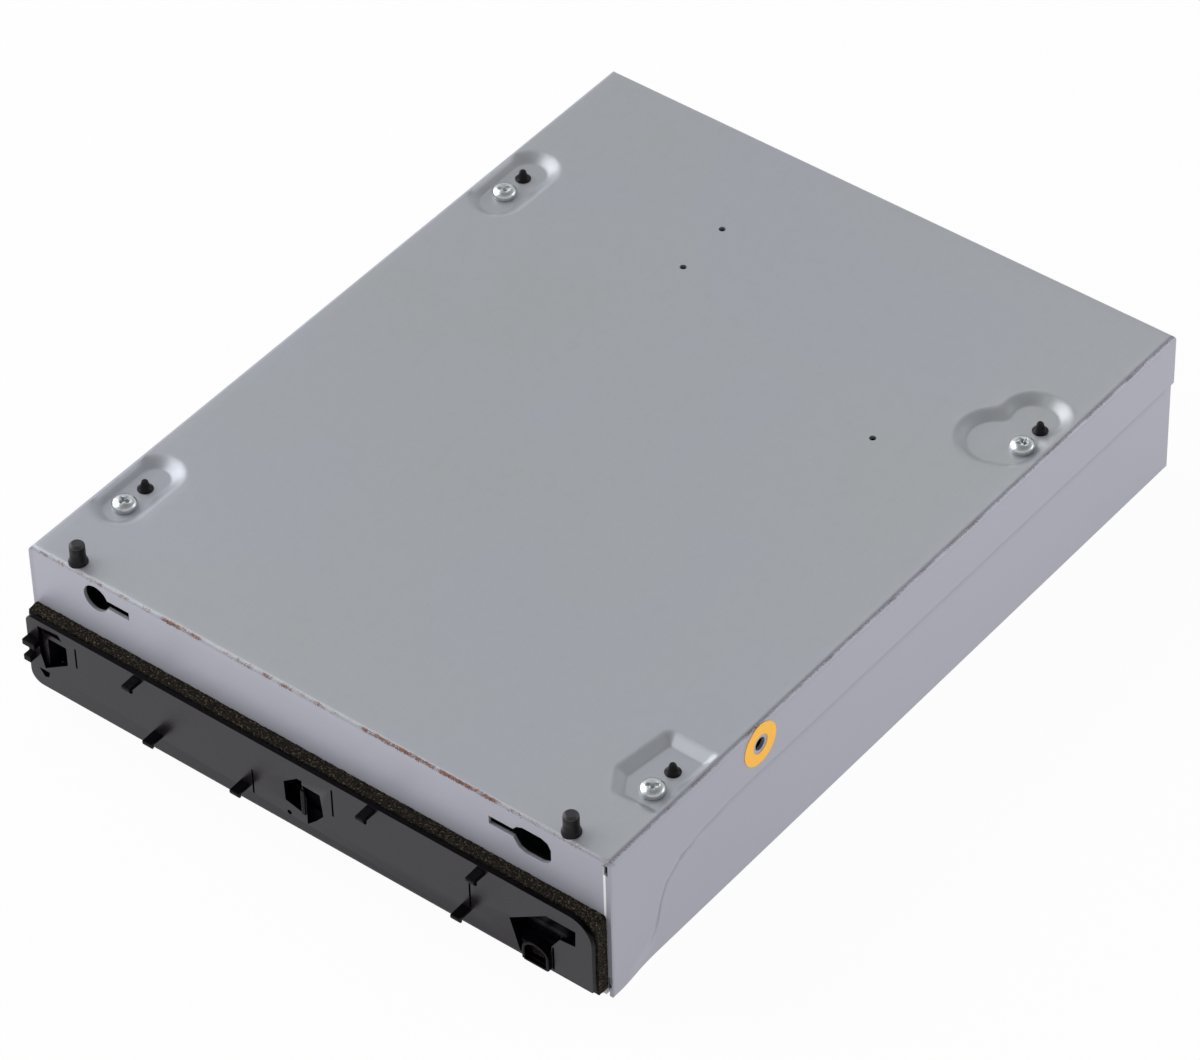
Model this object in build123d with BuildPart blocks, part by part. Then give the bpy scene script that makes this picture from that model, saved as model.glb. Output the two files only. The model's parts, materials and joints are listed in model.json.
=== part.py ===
"""Half-height tray-loading disc drive of a game console, as an assembly of separate pieces.

Millimetres. The drive lies as it does on a bench with its service cover up: +Z points out of
the service cover, -Y out of the tray front, +X to the right. The origin is the centre of the
casing's footprint, on the outer face of the label-side cover. Installed, that face is the top.
"""
import os
from math import asin, atan, atan2, cos, degrees, pi, radians, sin, tan

from build123d import *

os.makedirs("parts", exist_ok=True)

# Casing
casing_width = 148.0
casing_depth = 190.5
casing_height = 37.2
sheet = 0.8
bend_radius = 1.2
joggle = 0.7
seam_gap = 0.3
fit_gap = 0.3
frame_wall = 2.0
spindle_from_front = 69.25

# Main planes, from which the other places are measured
half_width = casing_width / 2
front_y = -casing_depth / 2
rear_y = casing_depth / 2
cover_inside_z = casing_height - sheet
wall_inside_x = half_width - sheet
joggled_inside_x = wall_inside_x - joggle
label_outside_x = joggled_inside_x - 0.1
frame_outside_x = label_outside_x - sheet - fit_gap
frame_inside_x = frame_outside_x - frame_wall
spindle_y = front_y + spindle_from_front

# Mouths, flanges and corners of the casing
front_flange_inset = 1.1
front_flange_bottom = 5.5
front_lip_height = 4.3
tray_mouth_half_width = half_width - 6.5
tray_mouth_top = 17.2
rear_flange_bottom = 26.4
rear_mouth_left = -36.0
rear_mouth_right = 34.0
rear_mouth_bottom = 23.6
rear_mouth_top = 33.4
side_wall_bottom = 0.3
label_flange_top = 19.0
corner_relief_width = 0.7
corner_relief_height = 3.0

# Joggle in the side walls, as distances from the front and above the label side
joggle_line_z = 23.5
joggle_ease_y = 37.0
joggle_knee_y = 15.3
joggle_knee_z = 19.6
joggle_foot_y = 6.5
joggle_foot_z = 7.0
joggle_bend_radius = 9.0

# Screws and the pressed dimples round them
screw_x = half_width - 6.5
rear_screw_y = rear_y - 46.05
front_screw_y = front_y + 21.75
peg_from_screw = 6.4
dimple_depth = 1.6
dimple_taper = 40.0
screw_head_radius = 2.75
screw_head_height = 1.5
screw_radius = 1.2
screw_length = 8.0
screw_hole_radius = 1.6
peg_radius = 1.25
peg_hole_radius = 1.6
peg_stand = 1.4
post_x = half_width - 11.2
post_from_front = 2.65
post_radius = 1.6
post_foot_radius = 1.8
post_hole_radius = 2.1
post_height = 5.0
post_chamfer = 0.5

# Keyholes in the front flange and the ejector hole in the side wall
left_key_x = 17.7 - half_width
left_key_z = 32.6
left_key_radius = 3.2
left_slot_end_x = left_key_x + 8.8
key_slot_height = 2.1
right_key_x = half_width - 19.0
right_key_z = 31.0
right_key_length = 9.4
right_key_height = 6.5
right_slot_end_x = right_key_x - 10.6
eject_y = spindle_y - 21.9
eject_z = 31.9
eject_hole_radius = 1.5
marker_outer_radius = 5.0
marker_inner_radius = 2.3
marker_thickness = 0.15
small_holes = [(-22.0, rear_y - 29.05), (-21.1, rear_y - 43.75), (42.5, rear_y - 63.25)]
small_hole_radius = 0.75

# Foam gasket and tray front
foam_half_width = half_width - 1.0
foam_top = 22.6
foam_bottom = 2.6
foam_thickness = 2.9
foam_strip = 3.5
foam_floor_strip = 2.9
front_plate_half_width = foam_half_width - 0.4
front_plate_top = 22.4
front_plate_bottom = 4.2
front_plate_thickness = 1.1
front_plate_corner = 5.5
front_plate_small_corner = 1.6
front_rim_wall = 1.2
front_rim_gap = 0.4
clip_tabs = [(-42.7, 22.0), (17.9, 22.0), (45.5, 22.0), (-38.3, 9.2), (-15.3, 9.2), (41.2, 9.0)]
tab_half_width = 1.1
tab_thickness = 1.1
tab_length = 3.6
lip_length = 2.2

# Disc, tray and rails
disc_radius = 60.0
tray_travel = 130.0
tray_half_width = frame_inside_x - 6.1
tray_rail_half_width = frame_inside_x - 3.1
tray_rail_thickness = 1.6
tray_rim_z = 6.3
well_margin = 0.6
well_depth = 3.3
tray_floor = 1.8
inner_well_radius = 40.5
inner_well_depth = 0.7
tray_skin = 1.6
tray_slot_half_width = 24.0
tray_slot_front = spindle_y - 18.0
tray_slot_rear = spindle_y + 86.0
tray_rear_bar = 8.0
tray_tail = spindle_y + 101.0
tray_tail_width = 6.0
finger_notch_radius = 11.0

# Frame
frame_front_gap = 0.35
frame_bottom = 1.2
frame_top = 34.4
frame_front_wall = 1.6
frame_front_wall_top = 26.0
rail_gap = 0.3
guide_ledge = 1.2
deck_rear_y = spindle_y - 30.0
deck_thickness = 2.0
boss_radius = 3.0
board_post_radius = 2.6
rear_wall_y = rear_y - 7.25
shelf_z = 24.2
shelf_thickness = 2.0
bracket_width = 4.0

# Gear train
gear_module = 1.0
fine_module = 0.5
middle_module = 0.8
backlash = 0.2
gear_thickness = 1.8
level_gap = 0.3
tray_under_gap = 0.8
tray_gear_teeth = 32
tray_gear_x = -34.0
tray_gear_from_front = 23.25
cam_pinion_teeth = 12
idler_small_teeth = 10
idler_large_teeth = 24
idler_angle = -20.0
pulley_pinion_teeth = 10
pulley_gear_angle = -15.0
pulley_radius = 9.5
pulley_flange = 0.7
motor_x = 34.0
motor_from_front = 17.25
motor_pulley_radius = 2.5
motor_radius = 12.2
motor_height = 12.4
motor_boss_radius = 3.5
motor_boss_height = 2.0
motor_shaft_radius = 1.0
belt_thickness = 1.0
belt_clearance = 0.05
gear_pin_radius = 1.5
pin_clearance = 0.06
rack_x = -50.0
rack_back = 2.5
rack_front_overhang = 10.0
rack_rear_overhang = 8.0

# Cam slider and lift frame
slider_wall_y = spindle_y - 28.3
slider_wall_thickness = 3.0
slider_wall_top = 35.4
slider_end = 4.5
slider_hook_x = -4.8
lift_pin_x = -10.0
lift_pin_radius = 1.5
slot_clearance = 0.4
push_arm_front = spindle_y - 23.4
push_arm_width = 3.0
push_arm_end_x = 66.0
push_arm_height = 3.0
spindle_drop = 8.5
hinge_y = spindle_y + 77.0
hinge_pin_radius = 2.0
lift_half_width = 50.0
lift_front = spindle_y - 19.5
lift_rear = spindle_y + 80.0
lift_rail_width = 7.0
lift_z = 19.4
lift_thickness = 4.0
lift_cross_front = 5.0
hinge_gap = 0.5

# Traverse
base_z = 17.0
base_thickness = 1.2
base_half_width = 43.0
base_front = spindle_y - 17.0
base_rear = spindle_y + 73.0
ear_x = 45.2
front_damper_y = spindle_y - 13.0
rear_damper_y = spindle_y + 69.0
damper_radius = 3.4
damper_groove_radius = 2.4
damper_top = 1.8
damper_screw_radius = 1.0
damper_screw_head = 2.3
rod_x = 27.5
rod_z = 14.6
rod_radius = 1.5
rod_front = spindle_y + 13.0
rod_rear = spindle_y + 72.0
rod_clip_length = 3.0
rod_clip_width = 5.0
pickup_slot_half_width = 24.6
pickup_slot_front = spindle_y + 15.5
pickup_slot_rear = spindle_y + 71.6
lead_screw_x = 35.5
lead_screw_z = 18.2
lead_screw_radius = 1.4
lead_screw_pitch = 3.0
lead_screw_end_y = spindle_y + 65.0
sled_motor_radius = 5.5
sled_motor_front = spindle_y - 13.5
sled_motor_length = 12.0
bracket_sheet = 0.8

# Spindle and clamp
disc_lift = 0.6
turntable_radius = 15.0
turntable_thickness = 1.5
pad_thickness = 0.5
pad_inner_radius = 10.8
hub_radius = 7.3
hub_height = 1.8
rotor_radius = 13.2
rotor_height = 4.9
rotor_wall = 0.8
rotor_magnet_wall = 0.9
stator_poles = 9
shaft_radius = 1.5
bearing_radius = 3.6
spindle_board_thickness = 0.8
bridge_z = 4.1
bridge_thickness = 0.8
bridge_width = 34.0
bridge_half_length = frame_inside_x - 0.4
bridge_hole_radius = 13.0
puck_flange_radius = 16.5
puck_flange_thickness = 0.9
puck_radius = 12.4
puck_recess_radius = 8.0
puck_floor = 1.4
clamp_plate_thickness = 1.2
puck_gap = 0.3

# Optical pickup
pickup_inner_radius = 24.0
pickup_travel = 34.0
pickup_half_width = 23.4
pickup_front = 6.3
pickup_rear = 10.0
pickup_z = 13.2
pickup_height = 7.0
lens_radius = 2.2
lens_tip_z = 12.0
lens_holder_size = 11.0
lens_holder_height = 2.2

# Board
board_z = 32.6
board_thickness = 1.6
board_half_width = frame_inside_x - 5.7
board_front = rear_y - 71.25
board_rear = rear_y - 2.85
board_post_x = frame_inside_x - 9.3
board_front_post_y = rear_y - 64.25
board_rear_post_y = rear_y - 11.25
connector_depth = 13.0
connector_rear = rear_y - 1.65
sata_x = 18.0
sata_width = 16.0
power_x = -18.0
power_width = 26.0
connector_height = 8.2
contact_pitch = 2.0

# Values worked out from the ones above
front_flange_end = half_width - front_flange_inset
flange_inside_y = front_y + sheet
frame_front_y = flange_inside_y + frame_front_gap
dimple_floor_z = casing_height - dimple_depth
boss_top_z = dimple_floor_z - sheet
post_y = front_y + post_from_front

foam_front_y = front_y - foam_thickness
plate_back_y = foam_front_y - fit_gap
lip_start_x = front_plate_half_width - 18.1
lip_end_x = front_plate_half_width - 10.1
plate_face_y = plate_back_y - front_plate_thickness
rim_half_width = foam_half_width - foam_strip - front_rim_gap
rim_bottom = foam_bottom + foam_floor_strip + 0.6
rim_top = foam_top - foam_strip - front_rim_gap
tray_front_y = front_y - fit_gap

well_radius = disc_radius + well_margin
well_floor_z = tray_rim_z + well_depth
tray_under_z = well_floor_z + tray_floor
level_a = tray_under_z + tray_under_gap
level_b = level_a + gear_thickness + level_gap
level_c = level_b + gear_thickness + level_gap
deck_z = level_c + gear_thickness + level_gap
deck_top_z = deck_z + deck_thickness

tray_gear_y = front_y + tray_gear_from_front
tray_gear_radius = gear_module * tray_gear_teeth / 2
cam_pinion_radius = fine_module * cam_pinion_teeth / 2
cam_pinion_phase = 0.0
idler_small_radius = gear_module * idler_small_teeth / 2
idler_large_radius = middle_module * idler_large_teeth / 2
pulley_pinion_radius = middle_module * pulley_pinion_teeth / 2
idler_distance = tray_gear_radius + idler_small_radius
idler_x = tray_gear_x + idler_distance * cos(radians(idler_angle))
idler_y = tray_gear_y + idler_distance * sin(radians(idler_angle))
pulley_distance = idler_large_radius + pulley_pinion_radius
pulley_x = idler_x + pulley_distance * cos(radians(pulley_gear_angle))
pulley_y = idler_y + pulley_distance * sin(radians(pulley_gear_angle))
motor_y = front_y + motor_from_front

switch_x = frame_inside_x - 14.3
slider_travel = tray_travel * cam_pinion_radius / tray_gear_radius
lift_angle = degrees(asin(spindle_drop / (hinge_y - spindle_y)))
hinge_z = lift_z + lift_thickness / 2
slider_middle_y = slider_wall_y + slider_wall_thickness / 2
slot_rise = (hinge_y - slider_middle_y) * sin(radians(lift_angle))

seat_z = well_floor_z - disc_lift
turntable_z = seat_z + pad_thickness
rotor_z = turntable_z + turntable_thickness
rotor_bottom_z = rotor_z + rotor_height
spindle_board_z = base_z - spindle_board_thickness
press_z = seat_z - puck_gap
puck_shoulder_z = bridge_z - puck_gap
puck_top_z = puck_shoulder_z - puck_flange_thickness
pickup_y = spindle_y + pickup_inner_radius


def slab(x_range, y_range, z_range, mode=Mode.ADD):
    """A plain block between two corners, in the part that is being built."""
    centre = [(low + high) / 2 for low, high in (x_range, y_range, z_range)]
    size = [high - low for low, high in (x_range, y_range, z_range)]
    with Locations(tuple(centre)):
        Box(*size, mode=mode)


def post(x, y, radius, z_range, mode=Mode.ADD):
    """An upright cylinder between two heights, in the part that is being built."""
    with Locations((x, y, (z_range[0] + z_range[1]) / 2)):
        Cylinder(radius, z_range[1] - z_range[0], mode=mode)


def save(part, label):
    """Label a finished piece and write it to its file."""
    part.label = label
    export_step(part, f"parts/{label}.step")
    return part


def tooth_outline(module, teeth):
    """One side of an involute tooth, as (radius, half angle) pairs from root to tip."""
    pitch_radius = module * teeth / 2
    base_radius = pitch_radius * cos(radians(20))
    root_radius = pitch_radius - 1.2 * module
    tip_radius = pitch_radius + 0.9 * module
    half_pitch_angle = (pi * module / 2 - backlash / 2) / (2 * pitch_radius)
    involute_at_pitch = tan(radians(20)) - radians(20)
    flank = []
    for radius in (max(base_radius, root_radius + 0.1 * module), pitch_radius, tip_radius):
        roll = (max(radius / base_radius, 1.0) ** 2 - 1) ** 0.5
        involute = roll - atan(roll)
        flank.append((radius, half_pitch_angle + involute_at_pitch - involute))
    return [(root_radius, flank[0][1])] + flank


def gear_points(module, teeth, phase):
    """Corner points of a spur gear with a tooth centred at the phase angle, in degrees."""
    side = tooth_outline(module, teeth)
    points = []
    for tooth in range(teeth):
        middle = radians(phase) + 2 * pi * tooth / teeth
        for radius, angle in side:
            points.append((radius * cos(middle - angle), radius * sin(middle - angle)))
        for radius, angle in reversed(side):
            points.append((radius * cos(middle + angle), radius * sin(middle + angle)))
    return points


def gear(x, y, z_range, module, teeth, phase):
    """A spur gear in the part that is being built."""
    points = [(x + px, y + py) for px, py in gear_points(module, teeth, phase)]
    with BuildSketch(Plane.XY.offset(z_range[0])) as outline:
        Polygon(*points, align=None)
    extrude(outline.sketch, amount=z_range[1] - z_range[0])


def meshing_phase(module, teeth, phase, angle, mate_teeth):
    """Phase that puts a mate's gap on this gear's tooth, where their line of centres lies at angle."""
    radius = module * teeth / 2
    mate_radius = module * mate_teeth / 2
    tooth_offset = radius * radians(phase - angle)
    gap_offset = (pi * module / 2 - tooth_offset) / mate_radius
    return angle + 180 + degrees(gap_offset)


tray_gear_phase = 0.0
idler_phase = meshing_phase(gear_module, tray_gear_teeth, tray_gear_phase, idler_angle,
                            idler_small_teeth)
pulley_phase = meshing_phase(middle_module, idler_large_teeth, idler_phase, pulley_gear_angle,
                             pulley_pinion_teeth)


def rack_points(module, start, end, first_tooth):
    """Outline of a rack along +X whose teeth point to -Y, pitch line on the X axis."""
    pitch = pi * module
    tip = (pitch / 2 - backlash / 2) / 2 - 0.9 * module * tan(radians(20))
    root = (pitch / 2 - backlash / 2) / 2 + 1.2 * module * tan(radians(20))
    points = [(start, 1.2 * module)]
    count = int((end - first_tooth - root) / pitch) + 1
    for tooth in range(count):
        middle = first_tooth + tooth * pitch
        points += [(middle - root, 1.2 * module), (middle - tip, -0.9 * module)]
        points += [(middle + tip, -0.9 * module), (middle + root, 1.2 * module)]
    points.append((end, 1.2 * module))
    return points


def joggle_outline(margin):
    """Side-wall region that is pressed in, as corner points in the YZ plane."""
    low = side_wall_bottom - margin
    path = [(rear_y + margin, low), (rear_y + margin, joggle_line_z),
            (front_y + joggle_ease_y, joggle_line_z), (front_y + joggle_knee_y, joggle_knee_z),
            (front_y + joggle_knee_y, joggle_foot_z), (front_y + joggle_foot_y, low)]
    return path


def joggle_sketch(margin):
    """The pressed-in region as a closed face with soft corners, Y and Z as its X and Y."""
    points = joggle_outline(margin)
    with BuildSketch() as region:
        with BuildLine():
            FilletPolyline(*points[1:], radius=[2 * joggle_bend_radius, joggle_bend_radius,
                                                joggle_bend_radius])
            Polyline(points[-1], points[0], points[1])
        make_face()
    return region.sketch


def dimple_outlines():
    """The four pressed dimples as rounded faces on the XY plane."""
    rear_middle = rear_screw_y + peg_from_screw / 2
    front_middle = front_screw_y + peg_from_screw / 2
    with BuildSketch() as outlines:
        with Locations((-screw_x + 0.5, rear_middle - 0.8)):
            SlotOverall(23.0, 12.0, rotation=90)
        with Locations((-screw_x, front_middle + 0.8)):
            SlotOverall(22.0, 11.0, rotation=90)
        with BuildLine():
            Polyline((screw_x + 5.5, front_middle + 10.5), (screw_x + 5.5, front_middle - 9.5),
                     (screw_x - 5.0, front_middle - 9.5), (screw_x - 9.0, front_middle - 3.5),
                     (screw_x - 7.0, front_middle + 10.5), close=True)
        make_face()
        with Locations((screw_x - 2.7, rear_middle + 5.2)):
            Circle(6.8)
        with Locations((screw_x - 4.6, rear_middle - 4.6)):
            Circle(9.2)
        fillet(outlines.vertices(), radius=2.4)
    return outlines.sketch


def make_service_cover():
    """Pressed steel cover with the screws: a pan with dimples, keyholes and joggled sides."""
    outlines = dimple_outlines()
    with BuildPart() as cover:
        with BuildSketch(Plane.XY.offset(side_wall_bottom)):
            Rectangle(casing_width, casing_depth)
        extrude(amount=casing_height - side_wall_bottom)
        fillet(cover.faces().sort_by(Axis.Z)[-1].edges(), radius=bend_radius)
        slab((-wall_inside_x, wall_inside_x), (front_y + sheet, rear_y - sheet),
             (side_wall_bottom, cover_inside_z), mode=Mode.SUBTRACT)
        for side in (-1, 1):
            inner = Plane.YZ.offset(side * wall_inside_x) * joggle_sketch(0.0)
            extrude(inner, amount=-side * joggle)
            outer = Plane.YZ.offset(side * half_width) * joggle_sketch(2 * joggle)
            extrude(outer, amount=-side * joggle, taper=45, mode=Mode.SUBTRACT)
        walls = Plane.XY.offset(casing_height) * offset(outlines, amount=sheet)
        extrude(walls, amount=-dimple_depth - sheet, taper=dimple_taper)
        hollows = Plane.XY.offset(casing_height) * outlines
        extrude(hollows, amount=-dimple_depth, taper=dimple_taper, mode=Mode.SUBTRACT)
        for side in (-1, 1):
            flange_ends = sorted((side * front_flange_end, side * wall_inside_x))
            relief_ends = sorted((side * front_flange_end,
                                  side * (front_flange_end + corner_relief_width)))
            relief_top = casing_height - bend_radius + seam_gap
            slab(flange_ends, (front_y, front_y + bend_radius),
                 (side_wall_bottom, relief_top), mode=Mode.SUBTRACT)
            slab(relief_ends, (front_y, front_y + 2 * sheet),
                 (relief_top - corner_relief_height, relief_top), mode=Mode.SUBTRACT)
        slab((-front_flange_end, front_flange_end), (front_y, front_y + sheet),
             (side_wall_bottom, front_flange_bottom), mode=Mode.SUBTRACT)
        slab((-tray_mouth_half_width, tray_mouth_half_width), (front_y, front_y + sheet),
             (front_flange_bottom, tray_mouth_top), mode=Mode.SUBTRACT)
        slab((-joggled_inside_x, joggled_inside_x), (rear_y - sheet, rear_y),
             (side_wall_bottom, rear_flange_bottom), mode=Mode.SUBTRACT)
        slab((rear_mouth_left, rear_mouth_right), (rear_y - sheet, rear_y),
             (rear_flange_bottom, rear_mouth_top), mode=Mode.SUBTRACT)
        for x in (-screw_x, screw_x):
            for y in (rear_screw_y, front_screw_y):
                post(x, y, screw_hole_radius, (boss_top_z, casing_height), mode=Mode.SUBTRACT)
                post(x, y + peg_from_screw, peg_hole_radius, (boss_top_z, casing_height),
                     mode=Mode.SUBTRACT)
            post(x / screw_x * post_x, post_y, post_hole_radius,
                 (cover_inside_z, casing_height), mode=Mode.SUBTRACT)
        for x, y in small_holes:
            post(x, y, small_hole_radius, (cover_inside_z, casing_height), mode=Mode.SUBTRACT)
        with BuildSketch(Plane.XZ.offset(-front_y)):
            with Locations((left_key_x, left_key_z)):
                Circle(left_key_radius)
            with Locations(((left_key_x + left_slot_end_x) / 2, left_key_z)):
                Rectangle(left_slot_end_x - left_key_x, key_slot_height)
            with Locations((right_key_x, right_key_z)):
                SlotOverall(right_key_length, right_key_height)
            with Locations(((right_key_x + right_slot_end_x) / 2, right_key_z)):
                Rectangle(right_key_x - right_slot_end_x, key_slot_height)
        extrude(amount=-sheet, mode=Mode.SUBTRACT)
        with BuildSketch(Plane.YZ.offset(half_width)):
            with Locations((eject_y, eject_z)):
                Circle(eject_hole_radius)
        extrude(amount=-sheet, mode=Mode.SUBTRACT)
    return save(cover.part, "service_cover")


def make_label_cover():
    """Plain steel cover of the label side, with side flanges, a front lip and a rear flange."""
    rear_outside_y = rear_y - sheet - 0.1
    with BuildPart() as cover:
        slab((-label_outside_x, label_outside_x), (front_y, rear_outside_y), (0, sheet))
        for side in (-1, 1):
            wall = sorted((side * label_outside_x, side * (label_outside_x - sheet)))
            slab(wall, (front_y + 2 * sheet, rear_outside_y), (0, label_flange_top))
        slab((-label_outside_x, label_outside_x), (front_y, front_y + sheet),
             (0, front_lip_height))
        slab((-label_outside_x, label_outside_x), (rear_outside_y - sheet, rear_outside_y),
             (0, rear_flange_bottom - fit_gap))
        slab((rear_mouth_left, rear_mouth_right), (rear_outside_y - sheet, rear_outside_y),
             (rear_mouth_bottom, rear_flange_bottom), mode=Mode.SUBTRACT)
        edges = cover.faces().sort_by(Axis.Z)[0].edges()
        fillet(edges, radius=sheet / 2)
        post(0, spindle_y, puck_flange_radius + 4, (sheet, 2 * sheet))
        post(0, spindle_y, puck_flange_radius + 3, (0, sheet), mode=Mode.SUBTRACT)
        for x in (-45.0, 45.0):
            slab((x - 4, x + 4), (spindle_y + 36, spindle_y + 96), (sheet, 1.5 * sheet))
            slab((x - 3.2, x + 3.2), (spindle_y + 36.8, spindle_y + 95.2), (0, sheet / 2),
                 mode=Mode.SUBTRACT)
    return save(cover.part, "label_cover")


def make_main_frame():
    """Moulded frame: side walls, tray rails, front deck, hinge brackets, pegs and posts."""
    rail_top = tray_rim_z - rail_gap
    support_z = tray_rim_z + tray_rail_thickness + rail_gap
    ledge_x = tray_half_width + 2 * rail_gap
    bracket_x = lift_half_width + hinge_gap
    with BuildPart() as frame:
        for side in (-1, 1):
            def span(near, far):
                return sorted((side * near, side * far))
            slab(span(frame_inside_x, frame_outside_x), (frame_front_y, rear_wall_y),
                 (frame_bottom, frame_top))
            slab(span(ledge_x, frame_inside_x), (frame_front_y, rear_wall_y),
                 (support_z, support_z + guide_ledge))
            for y in (-80.0, spindle_y, 42.0):
                slab(span(ledge_x, frame_inside_x), (y - 14, y + 14),
                     (rail_top - guide_ledge + 0.1, rail_top))
            slab(span(tray_rail_half_width + rail_gap, frame_inside_x),
                 (spindle_y - 4, spindle_y + 4), (bridge_z + bridge_thickness, support_z))
            for y, low in ((rear_screw_y, shelf_z), (front_screw_y, deck_z)):
                post(side * screw_x, y, boss_radius, (low, boss_top_z))
                post(side * screw_x, y + peg_from_screw, boss_radius, (low, boss_top_z))
                with Locations((side * screw_x, y + peg_from_screw,
                                boss_top_z + (sheet + peg_stand) / 2)):
                    Cone(peg_radius, peg_radius * 0.6, sheet + peg_stand)
            slab(span(bracket_x, frame_inside_x), (hinge_y - 4.5, hinge_y + 4.5),
                 (shelf_z, shelf_z + shelf_thickness))
            slab(span(bracket_x, bracket_x + bracket_width), (hinge_y - 4.5, hinge_y + 4.5),
                 (hinge_z - hinge_pin_radius - 2, shelf_z))
            slab(span(bracket_x, frame_inside_x), (rear_wall_y - 8, rear_wall_y),
                 (shelf_z, shelf_z + shelf_thickness))
            for y in (board_front_post_y, board_rear_post_y):
                post(side * board_post_x, y, board_post_radius, (shelf_z, board_z))
        slab((-frame_outside_x, frame_outside_x), (rear_wall_y, rear_wall_y + frame_wall),
             (frame_bottom, rear_mouth_bottom - 1))
        for side in (-1, 1):
            slab(sorted((side * bracket_x, side * frame_outside_x)),
                 (rear_wall_y, rear_wall_y + frame_wall), (frame_bottom, frame_top - 2))
        slab((-frame_inside_x, frame_inside_x), (frame_front_y, deck_rear_y),
             (deck_z, deck_top_z))
        slab((-frame_inside_x, frame_inside_x), (frame_front_y, frame_front_y + frame_front_wall),
             (deck_z, frame_front_wall_top))
        for x in (-post_x, post_x):
            post(x, post_y, post_foot_radius, (deck_z, casing_height + seam_gap))
            post(x, post_y, post_radius, (casing_height, casing_height + post_height))
        top_edges = frame.faces().sort_by(Axis.Z)[-2:].edges()
        chamfer(top_edges, length=post_chamfer)
        slab((slider_hook_x, slider_hook_x + 2.8), (slider_wall_y - 10.6, slider_wall_y - 8.6),
             (level_c - 0.6 - guide_ledge, deck_z))
        slab((slider_hook_x, slider_hook_x + 2.8), (slider_wall_y - 8.6, slider_wall_y - 6.2),
             (level_c - 0.5 - guide_ledge, level_c - 0.5))
        for x in (-bracket_x - bracket_width / 2, bracket_x + bracket_width / 2):
            with BuildSketch(Plane.YZ.offset(x - bracket_width / 2)):
                with Locations((hinge_y, hinge_z)):
                    Circle(hinge_pin_radius + pin_clearance)
            extrude(amount=bracket_width, mode=Mode.SUBTRACT)
        for x, y in ((tray_gear_x, tray_gear_y), (idler_x, idler_y), (pulley_x, pulley_y)):
            post(x, y, gear_pin_radius, (level_a + 0.2, deck_z))
        post(motor_x, motor_y, motor_boss_radius, (deck_z, deck_top_z), mode=Mode.SUBTRACT)
        for x in (-screw_x, screw_x):
            for y in (rear_screw_y, front_screw_y):
                post(x, y, screw_radius, (boss_top_z - screw_length, boss_top_z),
                     mode=Mode.SUBTRACT)
        for x in (-board_post_x, board_post_x):
            for y in (board_front_post_y, board_rear_post_y):
                post(x, y, damper_screw_radius, (board_z - 5, board_z), mode=Mode.SUBTRACT)
    return save(frame.part, "main_frame")


def make_foam_gasket():
    """Open-cell foam ring between the front flange and the tray front."""
    with BuildPart() as foam:
        with BuildSketch(Plane.XZ.offset(-front_y)):
            with Locations((0, (foam_top + foam_bottom) / 2)):
                RectangleRounded(2 * foam_half_width, foam_top - foam_bottom, 1.5)
            inner_bottom = foam_bottom + foam_floor_strip
            inner_top = foam_top - foam_strip
            with Locations((0, (inner_top + inner_bottom) / 2)):
                RectangleRounded(2 * (foam_half_width - foam_strip), inner_top - inner_bottom,
                                 1.0, mode=Mode.SUBTRACT)
        extrude(amount=foam_thickness)
    return save(foam.part, "foam_gasket")


def side_socket(side):
    """Corner points of a clip socket at one end of the tray front, in the XZ plane."""
    points = [(18.0, 5.4), (20.4, 12.7), (11.3, 18.6), (4.0, 19.6), (4.0, 14.6),
              (7.8, 14.3), (10.2, 11.0), (10.4, 5.4)]
    return [(side * (front_plate_half_width - from_end), z) for from_end, z in points]


def make_tray_front():
    """Front plate of the tray with clip sockets, hooks and a rim that enters the foam ring."""
    middle_z = (front_plate_top + front_plate_bottom) / 2
    with BuildPart() as front:
        with BuildSketch(Plane.XZ.offset(-plate_back_y)) as plate:
            with Locations((0, middle_z)):
                Rectangle(2 * front_plate_half_width, front_plate_top - front_plate_bottom)
            fillet(plate.vertices().group_by(Axis.X)[-1].sort_by(Axis.Z)[-1:],
                   radius=front_plate_corner)
            fillet(plate.vertices().group_by(Axis.X)[0], radius=front_plate_small_corner)
        extrude(amount=front_plate_thickness)
        with BuildSketch(Plane.XZ.offset(-plate_back_y)):
            with Locations((0, (rim_top + rim_bottom) / 2)):
                RectangleRounded(2 * rim_half_width, rim_top - rim_bottom, 1.0)
                RectangleRounded(2 * (rim_half_width - front_rim_wall),
                                 rim_top - rim_bottom - 2 * front_rim_wall, 0.5,
                                 mode=Mode.SUBTRACT)
            for x in (-50.0, -30.0, -9.0, 9.0, 30.0, 50.0):
                with Locations((x, (rim_top + rim_bottom) / 2)):
                    Rectangle(front_rim_wall, rim_top - rim_bottom - front_rim_wall)
        extrude(amount=plate_back_y - tray_front_y)
        with BuildSketch(Plane.XZ.offset(-plate_face_y)):
            for side in (-1, 1):
                Polygon(*side_socket(side), align=None)
            with Locations((-2.2, 13.5)):
                Rectangle(5.0, 10.0)
            with Locations((3.0, 12.8)):
                Rectangle(4.6, 11.5)
        extrude(amount=-front_plate_thickness, mode=Mode.SUBTRACT)
        for x, z in clip_tabs:
            slab((x - tab_half_width, x + tab_half_width),
                 (plate_face_y - tab_length, plate_face_y), (z - tab_thickness, z))
        slab((lip_start_x, lip_end_x), (plate_face_y - lip_length, plate_face_y),
             (front_plate_bottom, 5.2))
        slab((-front_plate_half_width + 0.6, -front_plate_half_width + 3.8),
             (plate_face_y - lip_length, plate_face_y), (15.6, 17.4))
        slab((-front_plate_half_width + 0.3, -front_plate_half_width + 2.2),
             (plate_face_y - lip_length, plate_face_y), (11.4, 12.8))
    return save(front.part, "tray_front")


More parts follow.
